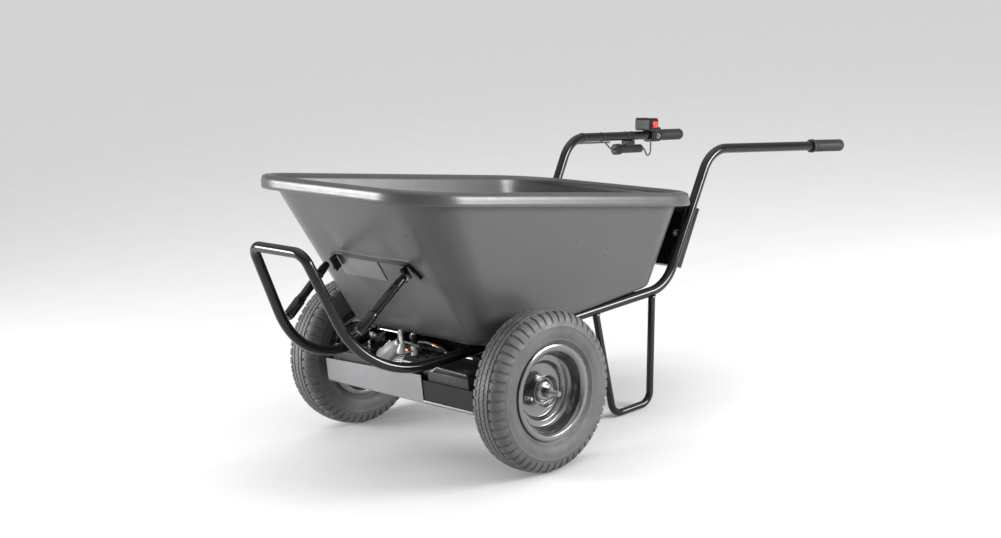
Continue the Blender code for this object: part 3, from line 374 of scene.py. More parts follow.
def bolt(size, head=0.6):
    """A washer and a chamfered hexagon head of a given width, standing on Z = 0."""
    washer = turned([(size * 0.95, 0), (size * 0.95, size * 0.1), (size * 0.9, size * 0.16)], 24)
    hexagon = prism(circle(size * 0.58, 6), size * head, size * 0.07)
    return merged(washer, moved(hexagon, (0, 0, size * (0.16 + head / 2))))


def dome(radius, height):
    """A domed bolt head standing on Z = 0."""
    turns = [radians(angle) for angle in range(0, 91, 15)]
    return lathe([(radius * cos(a), height * sin(a)) for a in turns], 20)


def bead(point, heading, radius, thick=0.002):
    """A weld bead round a bar: a slightly uneven ring."""
    place = at(point, heading)
    rings = []
    for angle in around(40):
        size = thick * (1 + 0.18 * sin(angle * 11))
        out = Vector((cos(angle), sin(angle), 0))
        rings.append([place @ (out * (radius + size * cos(swing))
                               + Vector((0, 0, size * sin(swing)))) for swing in around(8)])
    return skin(rings, closed=True)


def piece(name, parts, nodes=(), sharp=32, place=None, body="chassis"):
    """One object of (shape, finish) parts at a place, riding on a body, standing for CAD nodes."""
    shapes = [moved(shape, place or Matrix()) for shape, _ in parts]
    finishes = list(dict.fromkeys(finish for _, finish in parts))
    slots = []
    for (_, faces), (_, finish) in zip(shapes, parts):
        slots += [finishes.index(finish)] * len(faces)
    points, faces = merged(*shapes)
    mesh = bpy.data.meshes.new(name)
    mesh.from_pydata(points, [], faces)
    mesh.transform(Matrix.Translation((0, AXLE_Y, 0)))
    for finish in finishes:
        mesh.materials.append(finish)
    mesh.polygons.foreach_set("material_index", slots)
    work = bmesh.new()
    work.from_mesh(mesh)
    bmesh.ops.remove_doubles(work, verts=work.verts, dist=0.00004)
    bmesh.ops.recalc_face_normals(work, faces=work.faces)
    work.to_mesh(mesh)
    work.free()
    mesh.shade_smooth()
    mesh.set_sharp_from_angle(angle=radians(sharp))
    made = bpy.data.objects.new(name, mesh)
    bpy.context.scene.collection.objects.link(made)
    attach(made, body)
    if nodes:
        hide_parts(*nodes)
    return made


def paint_nodes(finish, *names):
    """Give CAD nodes that stay visible a finish."""
    for name in names:
        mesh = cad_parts[name].data
        mesh.materials.clear()
        mesh.materials.append(finish)


def mirrored(point, side):
    """The same point on the left (+1) or right (-1) side."""
    return Vector((point[0] * side, point[1], point[2]))


def mix(low, high, share):
    """A value between two others."""
    return low + (high - low) * share


# ---------------------------------------------------------------- tub


def tub_ring(share, inset=0.0, grow=0.0, rise=0.0):
    """One level of the tub's outside, from 0 at the floor to 1 under the rim."""
    front = mix(FLOOR_FRONT, RIM_FRONT, share) + inset
    rear = mix(FLOOR_REAR, RIM_REAR, share) - inset
    half = mix(FLOOR_HALF, RIM_HALF, share) - inset
    front_z = mix(FLOOR_FRONT_Z, RIM_FRONT_Z, share)
    rear_z = mix(FLOOR_REAR_Z, RIM_REAR_Z, share)
    corner = max(mix(FLOOR_CORNER, RIM_CORNER, share) - inset, 0.01)
    centres = ((half - corner, rear - corner), (-half + corner, rear - corner),
               (-half + corner, front + corner), (half - corner, front + corner))
    arc, run = 14, 26
    arcs = []
    for quarter, (x, y) in enumerate(centres):
        turns = [pi / 2 * (quarter + index / arc) for index in range(arc + 1)]
        arcs.append([(x + (corner + grow) * cos(a), y + (corner + grow) * sin(a)) for a in turns])
    flat = []
    for points, after in zip(arcs, arcs[1:] + arcs[:1]):
        (start_x, start_y), (end_x, end_y) = points[-1], after[0]
        shares = [step / run for step in range(1, run)]
        flat += points
        flat += [(mix(start_x, end_x, part), mix(start_y, end_y, part)) for part in shares]
    ring = []
    for x, y in flat:
        z = mix(front_z, rear_z, (y - front) / (rear - front)) + rise
        if y < front + 0.01 and 0.05 < share < 1.0:
            for dent_x in (DENT_X, -DENT_X):
                away = ((x - dent_x) ** 2 + (z - DENT_Z) ** 2) / DENT_REACH ** 2
                y += DENT_DEPTH * exp(-away)
        ring.append(Vector((x, y, z)))
    return ring


def tub():
    """The moulded tub: flat floor with a rounded foot, sloping walls and a rolled rim."""
    rings = [tub_ring(0.0, inset) for inset in (0.16, 0.09, 0.045, 0.022, 0.02)]
    for angle in range(10, 91, 16):
        swing = radians(angle)
        rings.append(tub_ring(0.052 * (1 - cos(swing)), 0.02 * (1 - sin(swing))))
    rings += [tub_ring(0.06 + 0.94 * index / 22) for index in range(23)]
    lip = ((0.0004, 0.003), (0.0018, 0.0065), (0.0045, 0.0098), (0.0085, 0.012), (0.013, 0.013),
           (0.0175, 0.0128), (0.0212, 0.0112), (0.0238, 0.008), (0.025, 0.0035),
           (0.0256, -0.003), (0.0262, -0.009), (0.0268, -0.0128), (0.0262, -0.015),
           (0.024, -0.0152))
    rings += [tub_ring(1.0, grow=grow, rise=rise) for grow, rise in lip]
    points, faces = skin(rings, ends=False)
    faces.append(tuple(range(len(rings[0])))[::-1])
    made = piece("tub_shell", [((points, faces), TUB_GREY)], ["tub"],
                 sharp=60)
    shell = made.modifiers.new("wall", "SOLIDIFY")
    shell.thickness = TUB_WALL
    shell.offset = 1.0
    edge = made.modifiers.new("edge", "BEVEL")
    edge.width = 0.0009
    edge.segments = 2
    edge.limit_method = "ANGLE"
    edge.angle_limit = radians(50)
    washer = turned([(0.014, -0.0005), (0.014, 0.0015), (0.013, 0.0022)], 32)
    head = merged(washer, moved(dome(0.0085, 0.0045), (0, 0, 0.0018)))
    heads = []
    for x, y in FLOOR_BOLTS:
        z = FLOOR_FRONT_Z + (y - FLOOR_FRONT - 0.022) * FLOOR_SLOPE + TUB_WALL
        heads += [moved(head, (x, y, z)), moved(head, (-x, y, z))]
    piece("tub_floor_bolts", [(heads, ZINC)])


# ---------------------------------------------------------------- frame


def frame_line(side):
    """The corners of one side, from the nose loop to the handle's end."""
    corners = [LOOP_TOP, LOOP_BOTTOM, SPLICE, RAIL_END, HANDLE_BEND, HANDLE_END]
    return [mirrored(corner, side) for corner in corners]


def frame_tubes():
    """The nose loop with the lower rails, the handle tubes and the legs, with their welds."""
    nose = bent([*frame_line(1)[2::-1], *frame_line(-1)[:3]], LOOP_BENDS, radians(4))
    welds = []
    for side in (1, -1):
        start, after = frame_line(side)[2:4]
        welds.append(bead(start, after - start, TUBE_RADIUS, 0.0016))
    piece("nose_tube", [([sweep(nose, TUBE_RADIUS, 28), *welds], BLACK_PAINT)],
          ["front_frame_tube"])
    for name, side in SIDES:
        path = bent(frame_line(side)[2:], HANDLE_BENDS, radians(4))
        piece(f"handle_rail_{name}", [(sweep(path, TUBE_RADIUS, 28), BLACK_PAINT)],
              [f"handle_tube_{name}"])
        corners = [mirrored(point, side) for point in LEG]
        corners[0] += (corners[0] - corners[1]).normalized() * LEG_OVERRUN
        corners[-1] += (corners[-1] - corners[-2]).normalized() * LEG_OVERRUN
        shapes = [sweep(bent(corners, LEG_BEND, radians(5)), LEG_RADIUS, 24)]
        for end in (corners[0], corners[-1]):
            shapes.append(bead(end - Vector((0, 0, 0.001)), (0, 0, 1), LEG_RADIUS, 0.0024))
        piece(f"leg_{name}", [(shapes, BLACK_PAINT)], [f"rear_leg_{name}"])


# ---------------------------------------------------------------- nose bracket and struts


def on_front_wall(x, z, out):
    """A point a given distance out from the tub's front wall, at a height."""
    y = FLOOR_FRONT - (z - FLOOR_FRONT_Z) * tan(WALL_LEAN)
    return Vector((x, y - out * cos(WALL_LEAN), z - out * sin(WALL_LEAN)))


def nose_bracket():
    """The bent bar on the tub's front wall, its ears and bolts, and the pale plate under it."""
    half, tip, drop, thick = BRACKET_HALF, BRACKET_HALF + 0.022, 0.04, 0.006
    top = bent([(-tip, -drop, 0), (-half, 0, 0), (half, 0, 0), (tip, -drop, 0)], 0.012)
    under = bent([(tip - 0.004, -drop - thick, 0), (half - 0.003, -thick, 0),
                  (-half + 0.003, -thick, 0), (-tip + 0.004, -drop - thick, 0)], 0.01)
    shapes = [prism([(p.x, p.y) for p in [*top, *under]], BRACKET_DEPTH)]
    bolts = []
    ear_middle = (EAR_INNER + EAR_OUTER) / 2 - BRACKET_DEPTH / 2 - GAP
    for side in (1, -1):
        ear = block((0.005, 0.04, EAR_OUTER - EAR_INNER), 0.0015)
        shapes.append(moved(ear, (side * EAR_X, -0.023, ear_middle)))
        bolts.append(moved(bolt(0.0105), (side * (EAR_X + 0.0024), -0.032, ear_middle + 0.003),
                           (side, 0, 0)))
        inside = at((side * (EAR_X - 0.0045), -0.032, ear_middle + 0.003), (side, 0, 0))
        for wing in (radians(35), radians(145)):
            out = Vector((cos(wing), sin(wing), 0)) * 0.008
            tab = block((0.01, 0.006, 0.0022), 0.001)
            shapes.append(moved(tab, inside @ at(out) @ Matrix.Rotation(wing, 4, "Z")))
    turn = Matrix.Rotation(pi / 2 + WALL_LEAN, 3, "X")
    place = at(on_front_wall(0, BRACKET_Z, BRACKET_DEPTH / 2 + GAP), turn)
    piece("bracket_bar", [(shapes, BLACK_PAINT), (bolts, ZINC)],
          ["tub_front_bracket"], place=place)
    side_x, tall = 0.1655 / 2, 0.066
    outline = rounded_loop([(-side_x, 0), (-side_x, -tall), (side_x, -tall), (side_x, 0)], 0.004)
    spot = on_front_wall(-0.0623, BRACKET_Z - 0.0063 * cos(WALL_LEAN), SHEET / 2 + GAP)
    piece("bracket_backing", [(prism(outline, SHEET, 0.0005), PLAIN_STEEL)],
          ["tub_front_plate"], place=at(spot, turn))


def struts():
    """Each strut: a sleeve welded to the loop, a rod with a collar, and a flattened eye."""
    for name, side in SIDES:
        foot, head = mirrored(STRUT_FOOT, side), mirrored(STRUT_HEAD, side)
        length = (head - foot).length
        sleeve = [(0.0078, 0), (0.0104, 0.0018), (0.0138, 0.008), (0.014, 0.0555),
                  (0.0133, 0.058), (0.0122, 0.059), (0.0122, 0.0606), (0.0112, 0.0618),
                  (0, 0.062)]
        rod = [(0.0108, 0.0623), (0.011, 0.064), (0.011, length - 0.018),
               (0.01, length - 0.012), (0.0094, length - 0.003), (0.0074, length)]
        rings = [lathe([(0.0111, z), (0.0124, z + 0.001), (0.0124, z + 0.0035),
                        (0.0111, z + 0.0045)], 32, closed=True)
                 for z in (0.0635, length - 0.04)]
        weld = bead((0, 0, 0.002), (0, 0, 1), 0.0095, 0.0022)
        for part, shapes in (("sleeve", [lathe([(0, 0), *sleeve], 32), weld]),
                             ("rod", [turned(rod, 32), *rings])):
            piece(f"strut_{part}_fine_{name}", [(shapes, BLACK_PAINT)],
                  [f"strut_{part}_{name}"], place=at(foot, head - foot))


# ---------------------------------------------------------------- battery pan


def battery_pan():
    """The folded pan with its bright lower lip, the plate on its front, and the batteries."""
    paint_nodes(PAN_PAINT, "battery_pan")
    piece("pan_lip", [(block((2 * PAN_HALF, 0.003, 0.008), 0.0012), PLAIN_STEEL)],
          place=at((0, PAN_FRONT - 0.0012, PAN_Z + 0.0042)))
    half, low, high = 0.1915, -0.026, 0.03
    corners = [(-half, low), (half, low), (half, high + 0.012), (-half, high)]
    plate = prism(rounded_loop(corners, 0.002), SHEET, 0.0006)
    piece("pan_front_fine", [(plate, PLAIN_STEEL)], ["pan_front_plate"],
          place=at((-0.0915, PAN_FRONT - SHEET / 2 - GAP, PAN_Z + 0.032), (0, -1, 0)))
    wide, deep, tall = BATTERY
    case = moved(block((wide, deep, tall - 0.012), 0.0025), (0, 0, -0.006))
    lid = moved(block((wide - 0.003, deep - 0.003, 0.0125), 0.0025), (0, 0, tall / 2 - 0.0063))
    ribs = [moved(block((0.004, deep + 0.0006, tall - 0.03), 0.0012), (x, 0, -0.008))
            for x in (-0.06, -0.03, 0, 0.03, 0.06)]
    posts = [moved(block((0.014, 0.006, 0.001), 0.0003), (x, -0.03, tall / 2 - 0.0004))
             for x in (-0.052, 0.052)]
    for name, side in SIDES:
        centre = (side * BATTERY_X, BATTERY_Y, PAN_Z + SHEET + GAP + tall / 2)
        piece(f"battery_fine_{name}", [([case, lid, *ribs], BLACK_PLASTIC), (posts, COPPER)],
              [f"battery_{name}"], place=at(centre))


# ---------------------------------------------------------------- drive


def case_ring(x, grow=0.0, steps=96):
    """The gearbox's outline round its three shafts, grown outwards, at a place along X."""
    ring = []
    for angle in around(steps):
        out_y, out_z = cos(angle), sin(angle)
        reach = [y * out_y + z * out_z + radius for (y, z), radius in CASE_ROUNDS]
        (y, z), radius = CASE_ROUNDS[reach.index(max(reach))]
        ring.append(Vector((x, y + (radius + grow) * out_y, z + (radius + grow) * out_z)))
    return ring


def flange_spots(x):
    """The places of the joint flange's bolts on the gearbox's outline."""
    ring = case_ring(x, 0.003)
    return [ring[index] for index in (3, 13, 25, 36, 47, 58, 69, 80, 90)]


def gearbox():
    """The case and its cover as castings with a joint flange, bolt bosses and a shaft collar."""
    case = [(-0.0375, -0.0045), (-0.038, -0.0022), (-0.0395, -0.0006), (-0.042, 0.0),
            (-0.0555, 0.0004), (-0.0562, 0.0028), (-0.0568, 0.0034), (-0.0599, 0.0034)]
    cover = [(-0.0603, 0.0034), (-0.0634, 0.0034), (-0.064, 0.0028), (-0.0647, 0.0004),
             (-0.077, -0.0006), (-0.0805, -0.0024), (-0.0824, -0.006), (-0.083, -0.011)]
    neck = turned([(0.0345, -0.0376), (0.0345, 0.006), (0.033, 0.01), (0.03, 0.0118),
                   (0.02, 0.012)])
    axle = at((0, 0, AXLE_Z), (1, 0, 0))
    web = moved(block((0.01, 0.0035, 0.034), 0.0008), (0.038, 0, -0.0205))
    shapes = [skin([case_ring(x, grow) for x, grow in case]), moved(neck, axle)]
    shapes += [moved(web, axle @ Matrix.Rotation(angle, 4, "Z")) for angle in around(8)]
    boss = lathe([(0, -0.0105), (0.0052, -0.01), (0.0062, -0.003), (0.0062, -0.0002),
                  (0, -0.0002)], 20)
    shapes += [moved(boss, spot, (-1, 0, 0)) for spot in flange_spots(-0.06)]
    heads = [moved(bolt(0.008, 0.55), spot + Vector((0.0105, 0, 0)), (1, 0, 0))
             for spot in flange_spots(-0.06)]
    piece("case_casting", [(shapes, CAST), (heads, ZINC)], ["gearbox_case"])
    collar = turned([(0.024, -0.01), (0.027, -0.002), (0.028, 0.0), (0.03, 0.002)], 48)
    shapes = [skin([case_ring(x, grow) for x, grow in cover]),
              moved(collar, (-0.083, 0, AXLE_Z), (1, 0, 0))]
    boss = lathe([(0, 0.0002), (0.0062, 0.0002), (0.0062, 0.004), (0.0054, 0.011),
                  (0, 0.0112)], 20)
    shapes += [moved(boss, spot, (-1, 0, 0)) for spot in flange_spots(-0.0602)]
    plug = moved(bolt(0.012, 0.5), (-0.0815, MOTOR[0] + 0.006, MOTOR[1] - 0.016), (-1, 0, 0))
    piece("cover_casting", [(shapes, CAST), (plug, ZINC)], ["gearbox_cover"])


def motor():
    """The motor: a finned aluminium end, a black can with its band, and a bolted end cap."""
    centre = at((0, *MOTOR), (1, 0, 0))
    fins = moved(prism(toothed(44, 0.0365, 0.0425, (0, 0.3, 0.4, 0.9)), 0.0297, 0.0012),
                 (0, 0, -0.02235))
    can = [(0.0405, -0.008), (0.042, -0.0065), (0.042, 0.014), (0.0424, 0.0144),
           (0.0424, 0.029), (0.042, 0.0294), (0.042, 0.0735), (0.041, 0.075)]
    piece("motor_can", [(fins, CAST), (turned(can, 72), BLACK_PAINT)],
          ["motor_housing"], place=centre)
    cap = [(0.015, 0.1), (0.0165, 0.0985), (0.03, 0.0985), (0.0385, 0.097), (0.042, 0.0935),
           (0.043, 0.089), (0.043, 0.076), (0.042, 0.0753)]
    screws = [moved(dome(0.0034, 0.0022), (0.0335 * cos(angle), 0.0335 * sin(angle), 0.0985))
              for angle in around(4, pi / 4)]
    brush = turned([(0.0072, 0), (0.0072, 0.0045), (0.006, 0.0056), (0.005, 0.0056),
                    (0.0045, 0.0048)], 24)
    brushes = []
    for angle in (radians(200), radians(20)):
        out = Vector((cos(angle), sin(angle), 0))
        brushes.append(moved(brush, out * 0.0405 + Vector((0, 0, 0.087)), out))
    piece("motor_cap",
          [(turned(cap, 72), BLACK_PLASTIC), (screws, ZINC), (brushes, BLACK_PLASTIC)],
          ["motor_end_cap"], place=centre)


def lever():
    """The freewheel lever, and the cast boss and bell that its post stands on."""
    x, y = LEVER_AT
    boss = turned([(0.0185, 0), (0.017, 0.008), (0.012, 0.016), (0.0098, 0.023),
                   (0.0085, 0.024)], 40)
    foot, crest = Vector((-0.079, -0.119, 0.248)), Vector((-0.032, -0.106, 0.296))
    bell = lathe([(0, 0), (0.029, 0), (0.0305, 0.002), (0.0305, 0.01), (0.0285, 0.013),
                  (0.0225, 0.036), (0.015, 0.056), (0.012, 0.06), (0.012, 0.068), (0, 0.069)], 48)
    fin = moved(block((0.004, 0.0026, 0.03), 0.0008), (0.023, 0, 0.03))
    fins = [moved(fin, Matrix.Rotation(radians(angle), 4, "Z")) for angle in range(-60, 109, 28)]
    casting = [moved(boss, (x, y, 0.27)),
               moved(block((0.03, 0.034, 0.015), 0.004), (x + 0.008, y + 0.012, 0.274)),
               moved([bell, *fins], foot, crest - foot)]
    post = turned([(0.006, 0.056), (0.0075, 0.0545), (0.0075, 0.0505), (0.0036, 0.05),
                   (0.0036, 0.0425), (0.008, 0.042), (0.008, 0)], 32)
    piece("lever_boss", [(casting, CAST), (moved(post, (x, y, 0.2735)), ZINC)],
          ["lever_post"])
    arm = [Vector((x - along, y, LEVER_Z)) for along in (0.006, 0.03, LEVER_REACH)]
    rod = sweep(bent(arm, 0.02), 0.003)
    eye = moved(lathe([(0.0038, -0.003), (0.0078, -0.003), (0.0085, -0.0023), (0.0085, 0.0023),
                       (0.0078, 0.003), (0.0038, 0.003)], 40, closed=True), (x, y, LEVER_Z))
    ball = [(0.0062 * cos(radians(angle)), 0.0062 * sin(radians(angle)))
            for angle in range(-90, 91, 15)]
    tip = moved(lathe(ball, 28), (x - LEVER_REACH + 0.003, y, LEVER_Z))
    piece("lever_arm", [([rod, eye], ZINC), (tip, BLACK_PLASTIC)], ["freewheel_lever"],
          body="lever")


def motor_fittings():
    """What stands on the motor: a capped knob, the release cylinder, lugged cables and wires."""
    knob = lathe([(0, 0), (0.007, 0), (0.007, 0.018), (0.0095, 0.02), (0.01, 0.027),
                  (0.0085, 0.03), (0, 0.031)], 32)
    pedestal = turned([(0.011, 0), (0.009, 0.023)], 28)
    top = lathe([(0, 0), (0.006, 0), (0.005, 0.003), (0, 0.0038)], 24)
    metal = [moved(pedestal, (0, 0, -0.022)), moved(top, (0, 0, 0.0305))]
    piece("brake_knob", [(knob, BLACK_PLASTIC), (metal, CAST)],
          place=at((0.0207, -0.104, 0.292)))
    cylinder = lathe([(0, 0), (0.0052, 0), (0.0056, 0.001), (0.0056, 0.012), (0.0082, 0.013),
                      (0.0082, 0.052), (0.0074, 0.0545), (0.0045, 0.055), (0.0045, 0.062),
                      (0, 0.0625)], 32)
    piece("release_cylinder", [(moved(cylinder, (-0.208, -0.0907, 0.292), (1, 0, 0)), CAST),
           (moved(block((0.012, 0.018, 0.022), 0.001), (-0.17, -0.0907, 0.2785)), ZINC)])
    routes = (
        ((0.03, -0.09, 0.27), (0.04, -0.106, 0.306), (0.08, -0.112, 0.312),
         (0.109, -0.109, 0.307)),
        ((-0.01, -0.108, 0.286), (0.002, -0.118, 0.304), (0.03, -0.12, 0.304),
         (0.056, -0.115, 0.298)),
        ((0.116, -0.109, 0.304), (0.13, -0.105, 0.302), (0.142, -0.095, 0.286),
         (0.15, -0.085, 0.269)),
    )
    cables = [sweep(bent(route, 0.01), 0.003, 14) for route in routes]
    barrel = turned([(0.0041, -0.008), (0.0041, 0.002), (0.003, 0.004)], 20)
    lug = merged(barrel, moved(block((0.009, 0.0016, 0.014), 0.0006), (0, 0, 0.009)))
    lugs = [moved(lug, (0.111, -0.109, 0.3065), (1, 0.05, -0.12)),
            moved(lug, (0.012, -0.118, 0.283), (1, -0.15, -0.1))]
    piece("motor_cables", [(cables, CABLE), (lugs, COPPER)])
    wires = []
    for route in (
        ((0.125, -0.149, 0.264), (0.142, -0.1585, 0.256), (0.154, -0.15, 0.269)),
        ((0.142, -0.15, 0.269), (0.19, -0.156, 0.27), (0.26, -0.15, 0.264)),
        ((-0.25, -0.146, 0.269), (-0.2, -0.15, 0.28), (-0.13, -0.125, 0.269)),
    ):
        wires.append(sweep(bent(route, 0.05), 0.0013, 10))
    piece("sense_wires", [(wires, CAST)])


def axle_tubes():
    """Axle tubes with a bearing collar at each end, and hangers bolted up to the cross bar."""
    for name, side in SIDES:
        low = 0.0123 if side > 0 else 0.0833
        profile = [(0.0141, low), (0.03, low), (0.03, low + 0.004), (0.019, low + 0.006),
                   (0.019, 0.276), (0.0215, 0.279), (0.0215, 0.298), (0.02, 0.3), (0.0141, 0.3)]
        tube = moved(lathe(profile, 48, closed=True), (0, 0, AXLE_Z), (side, 0, 0))
        hanger = moved(block((0.006, 0.04, 0.062), 0.0015), (side * 0.2, 0, 0.2475))
        saddle = bead((side * 0.2, 0, AXLE_Z), (1, 0, 0), 0.0192, 0.0034)
        heads = [moved(bolt(0.009), (side * 0.203, 0, z), (side, 0, 0)) for z in (0.25, 0.268)]
        piece(f"axle_casing_{name}", [([tube, hanger, saddle], BLACK_PAINT), (heads, ZINC)],
              [f"axle_tube_{name}"])


def drive():
    """The drive between the wheels; the gears inside the case keep their CAD shapes."""
    paint_nodes(DARK_STEEL, "idler_gear", "idler_shaft", "ring_gear", "motor_pinion",
                "differential_carrier", "differential_pin", "planet_gear_upper",
                "planet_gear_lower", "side_gear_left", "side_gear_right", "motor_shaft")
    paint_nodes(COPPER, "motor_armature")
    gearbox()
    motor()
    lever()
    motor_fittings()
    axle_tubes()


def cross_bars():
    """The bars under the tub, with the nuts of the bolts that hold it down."""
    paint_nodes(BLACK_PAINT, "front_cross_bar", "rear_cross_bar")
    x, y = FLOOR_BOLTS[1]
    nuts = [moved(bolt(0.012), (side * x, y, 0.2945), (0, 0, -1)) for side in (1, -1)]
    piece("cross_bar_nuts", [(nuts, ZINC)])


# ---------------------------------------------------------------- wheels

TREAD_PITCHES = 51
TREAD_GROOVE = ((0, 0), (0.07, 1), (0.28, 1), (0.35, 0), (0.51, 0), (0.68, 0), (0.84, 0))
GROOVE_DEPTH, RIB_DEPTH, ZIGZAG = 0.0045, 0.003, 0.0022
CROWN = (0.0, 0.0025, 0.005, 0.0058, 0.0068, 0.0088, 0.0098, 0.0125, 0.0155, 0.018, 0.019,
         0.0212, 0.0222, 0.0255, 0.029, 0.032)
RIB_EDGES = ((0.0058, 0.0098), (0.018, 0.0222))
SIDEWALL = ((0.1925, 0.0368), (0.188, 0.0412), (0.1835, 0.044), (0.179, 0.046),
            (0.1745, 0.0475), (0.17, 0.0485), (0.166, 0.0492), (0.1648, 0.05), (0.163, 0.05),
            (0.1618, 0.0495), (0.156, 0.0497), (0.15, 0.0495), (0.144, 0.0488),
            (0.138, 0.0474), (0.132, 0.045), (0.13, 0.045), (0.1288, 0.0436),
            (0.124, 0.0405), (0.121, 0.0382), (0.112, 0.0374), (0.106, 0.0368),
            (0.1026, 0.035), (0.1023, 0.024))
RIM_FLANGE = ((0.0925, 0.009), (0.0985, 0.024), (0.0985, 0.0352), (0.101, 0.04),
              (0.106, 0.0436), (0.115, 0.0447), (0.1186, 0.0432))


def sheet(line, thickness):
    """A pressed sheet's section: a (radius, height) line given thickness towards its back."""
    front = [Vector((a, b)) for a, b in line]
    back = []
    for index, point in enumerate(front):
        before, after = front[max(index - 1, 0)], front[min(index + 1, len(front) - 1)]
        run = (after - before).normalized()
        back.append(point + Vector((run.y, -run.x)) * thickness)
    return [(p.x, p.y) for p in front + back[::-1]]


def eased(line, radius):
    """A (radius, height) line with its corners turned to arcs."""
    path = bent([(a, b, 0) for a, b in line], radius, radians(15))
    return [(point.x, point.y) for point in path]


def tread_section():
    """(radius, x, zigzag share, rib depth, groove share) from one bead over to the other."""
    half = []
    for x in CROWN:
        radius = WHEEL_RADIUS - 0.004 * (x / 0.032) ** 2.2
        cut = any(low < x < high for low, high in RIB_EDGES)
        weave = 1.0 if 0.004 < x < 0.012 else 0.6 if 0.017 < x < 0.023 else 0.4
        groove = 0.0 if x < 0.0215 else 1.0
        half.append((radius, x, weave if x > 0.001 else 0.0, RIB_DEPTH if cut else 0.0, groove))
    for radius, x in SIDEWALL:
        groove = min(1.0, max(0.0, (radius - 0.17) / 0.006))
        half.append((radius, x, 0.0, 0.0, groove))
    mirror = [(radius, -x, weave, cut, groove) for radius, x, weave, cut, groove in half[:0:-1]]
    return mirror + half


def tyre():
    """A tyre with zigzag ribs on the crown and cross grooves over both shoulders."""
    section = tread_section()
    normals = []
    for index in range(len(section)):
        before, after = section[max(index - 1, 0)], section[min(index + 1, len(section) - 1)]
        run = Vector((after[0] - before[0], after[1] - before[1])).normalized()
        normals.append(Vector((run.y, -run.x)))
    rings = []
    for pitch in range(TREAD_PITCHES):
        for share, cut in TREAD_GROOVE:
            angle = 2 * pi * (pitch + share) / TREAD_PITCHES
            weave = ZIGZAG * (abs(2 * ((2 * share) % 1.0) - 1) * 2 - 1)
            ring = []
            for (radius, x, sway, rib, groove), normal in zip(section, normals):
                depth = rib + cut * groove * GROOVE_DEPTH
                turn = angle + 0.1 * (abs(x) - 0.03) * groove
                reach = radius - abs(normal.x) * depth if radius > 0.14 else radius
                out = x + sway * weave - (normal.y * depth if groove else 0.0) * 0.6
                ring.append(Vector((reach * cos(turn), reach * sin(turn), out)))
            rings.append(ring)
    return skin(rings, closed=True)


def wheels():
    """Each wheel: tyre, two pressed rim halves, hub with its cup, nut, thread and valve."""
    dished = eased([(0.0295, -0.0075), (0.066, -0.0075), (0.0742, 0.0035), (0.088, 0.0035),
                    *RIM_FLANGE], 0.003)
    nested = eased([(0.0295, 0.0128), (0.0687, 0.0128), (0.0767, 0.0018), (0.0885, 0.0018),
                    *RIM_FLANGE], 0.003)
    cup = eased([(0.0293, -0.0072), (0.035, -0.0072), (0.0352, 0.001), (0.0395, 0.013),
                 (0.0418, 0.016), (0.0408, 0.018), (0.0385, 0.0165), (0.033, 0.006),
                 (0.0293, 0.0055)], 0.0012)
    hub = [(0.0113, 0.0175), (0.018, 0.0175), (0.0225, 0.016), (0.0262, 0.012),
           (0.0285, 0.006), (0.029, -0.0131), (0.0455, -0.0131), (0.046, -0.0136),
           (0.046, -0.0195), (0.0455, -0.02), (0.029, -0.02), (0.027, -0.03),
           (0.025, -0.047), (0.024, -0.048), (0.0113, -0.048)]
    thread = [(0.0058, 0.062), (0.0074, 0.0604)]
    for index in range(24):
        top = 0.06 - index * 0.00175
        thread += [(0.0068, top), (0.0075, top - 0.00085)]
    inner = 0.043 - HALF_TRACK
    thread += [(0.0075, 0.0176), (0.011, 0.0175), (0.011, inner - 0.016), (0.008, inner - 0.016),
               (0.008, inner - 0.047)]
    nut = moved(prism(circle(0.015, 6), 0.013, 0.0015), (0, 0, 0.0245))
    washer = turned([(0.019, 0.0172), (0.0195, 0.0176), (0.019, 0.0186)], 40)
    sleeve = turned([(0.0072, -0.0075), (0.0072, -0.006), (0.0058, -0.004), (0.005, 0.008)], 28)
    metal = lathe([(0, 0.008), (0.004, 0.008), (0.004, 0.021), (0.0046, 0.0214),
                   (0.0048, 0.03), (0.0036, 0.0322), (0, 0.0324)], 24)
    back = Matrix.Rotation(pi, 4, "X")
    stem = at((-0.064, 0.001, 0))
    kinds = (
        ("tyre_fine", [(tyre(), TYRE)], "tyre", "tyre_rubber", 40),
        ("rim_face", [(lathe(sheet(dished, 0.0025), 128, closed=True), RIM_ENAMEL)],
         "rim_outer", "grey_rim_enamel", 40),
        ("rim_back", [(moved(lathe(sheet(nested, 0.0025), 96, closed=True), back), RIM_ENAMEL)],
         "rim_inner", "grey_rim_enamel", 40),
        ("hub_fine", [(lathe(hub, 64, closed=True), DARK_STEEL),
                      (lathe(cup, 96, closed=True), RIM_ENAMEL)], "hub", "cast_aluminium", 32),
        ("nut_fine", [([nut, washer], DARK_STEEL)], "hub_nut", "zinc_plated_steel", 32),
        ("shaft_fine", [(turned(thread, 32), DARK_STEEL)], "half_shaft", "hardened_steel", 32),
        ("valve", [(moved(sleeve, stem), GRIP), (moved(metal, stem), ZINC)], None,
         "zinc_plated_steel", 32),
    )
    for name, side in SIDES:
        place = at((side * HALF_TRACK, 0, AXLE_Z), (side, 0, 0))
        for kind, parts, node, slot, sharp in kinds:
            nodes = [f"{node}_{name}"] if node else []
            piece(f"{kind}_{name}", parts, nodes, sharp, place, f"drive_{name}")


# ---------------------------------------------------------------- handles and controls


def on_handle(side, back):
    """A place on a handle's line: Z along it to the rear, Y upright."""
    end, bend = mirrored(HANDLE_END, side), mirrored(HANDLE_BEND, side)
    run = (end - bend).normalized()
    return at(end - run * back, run)


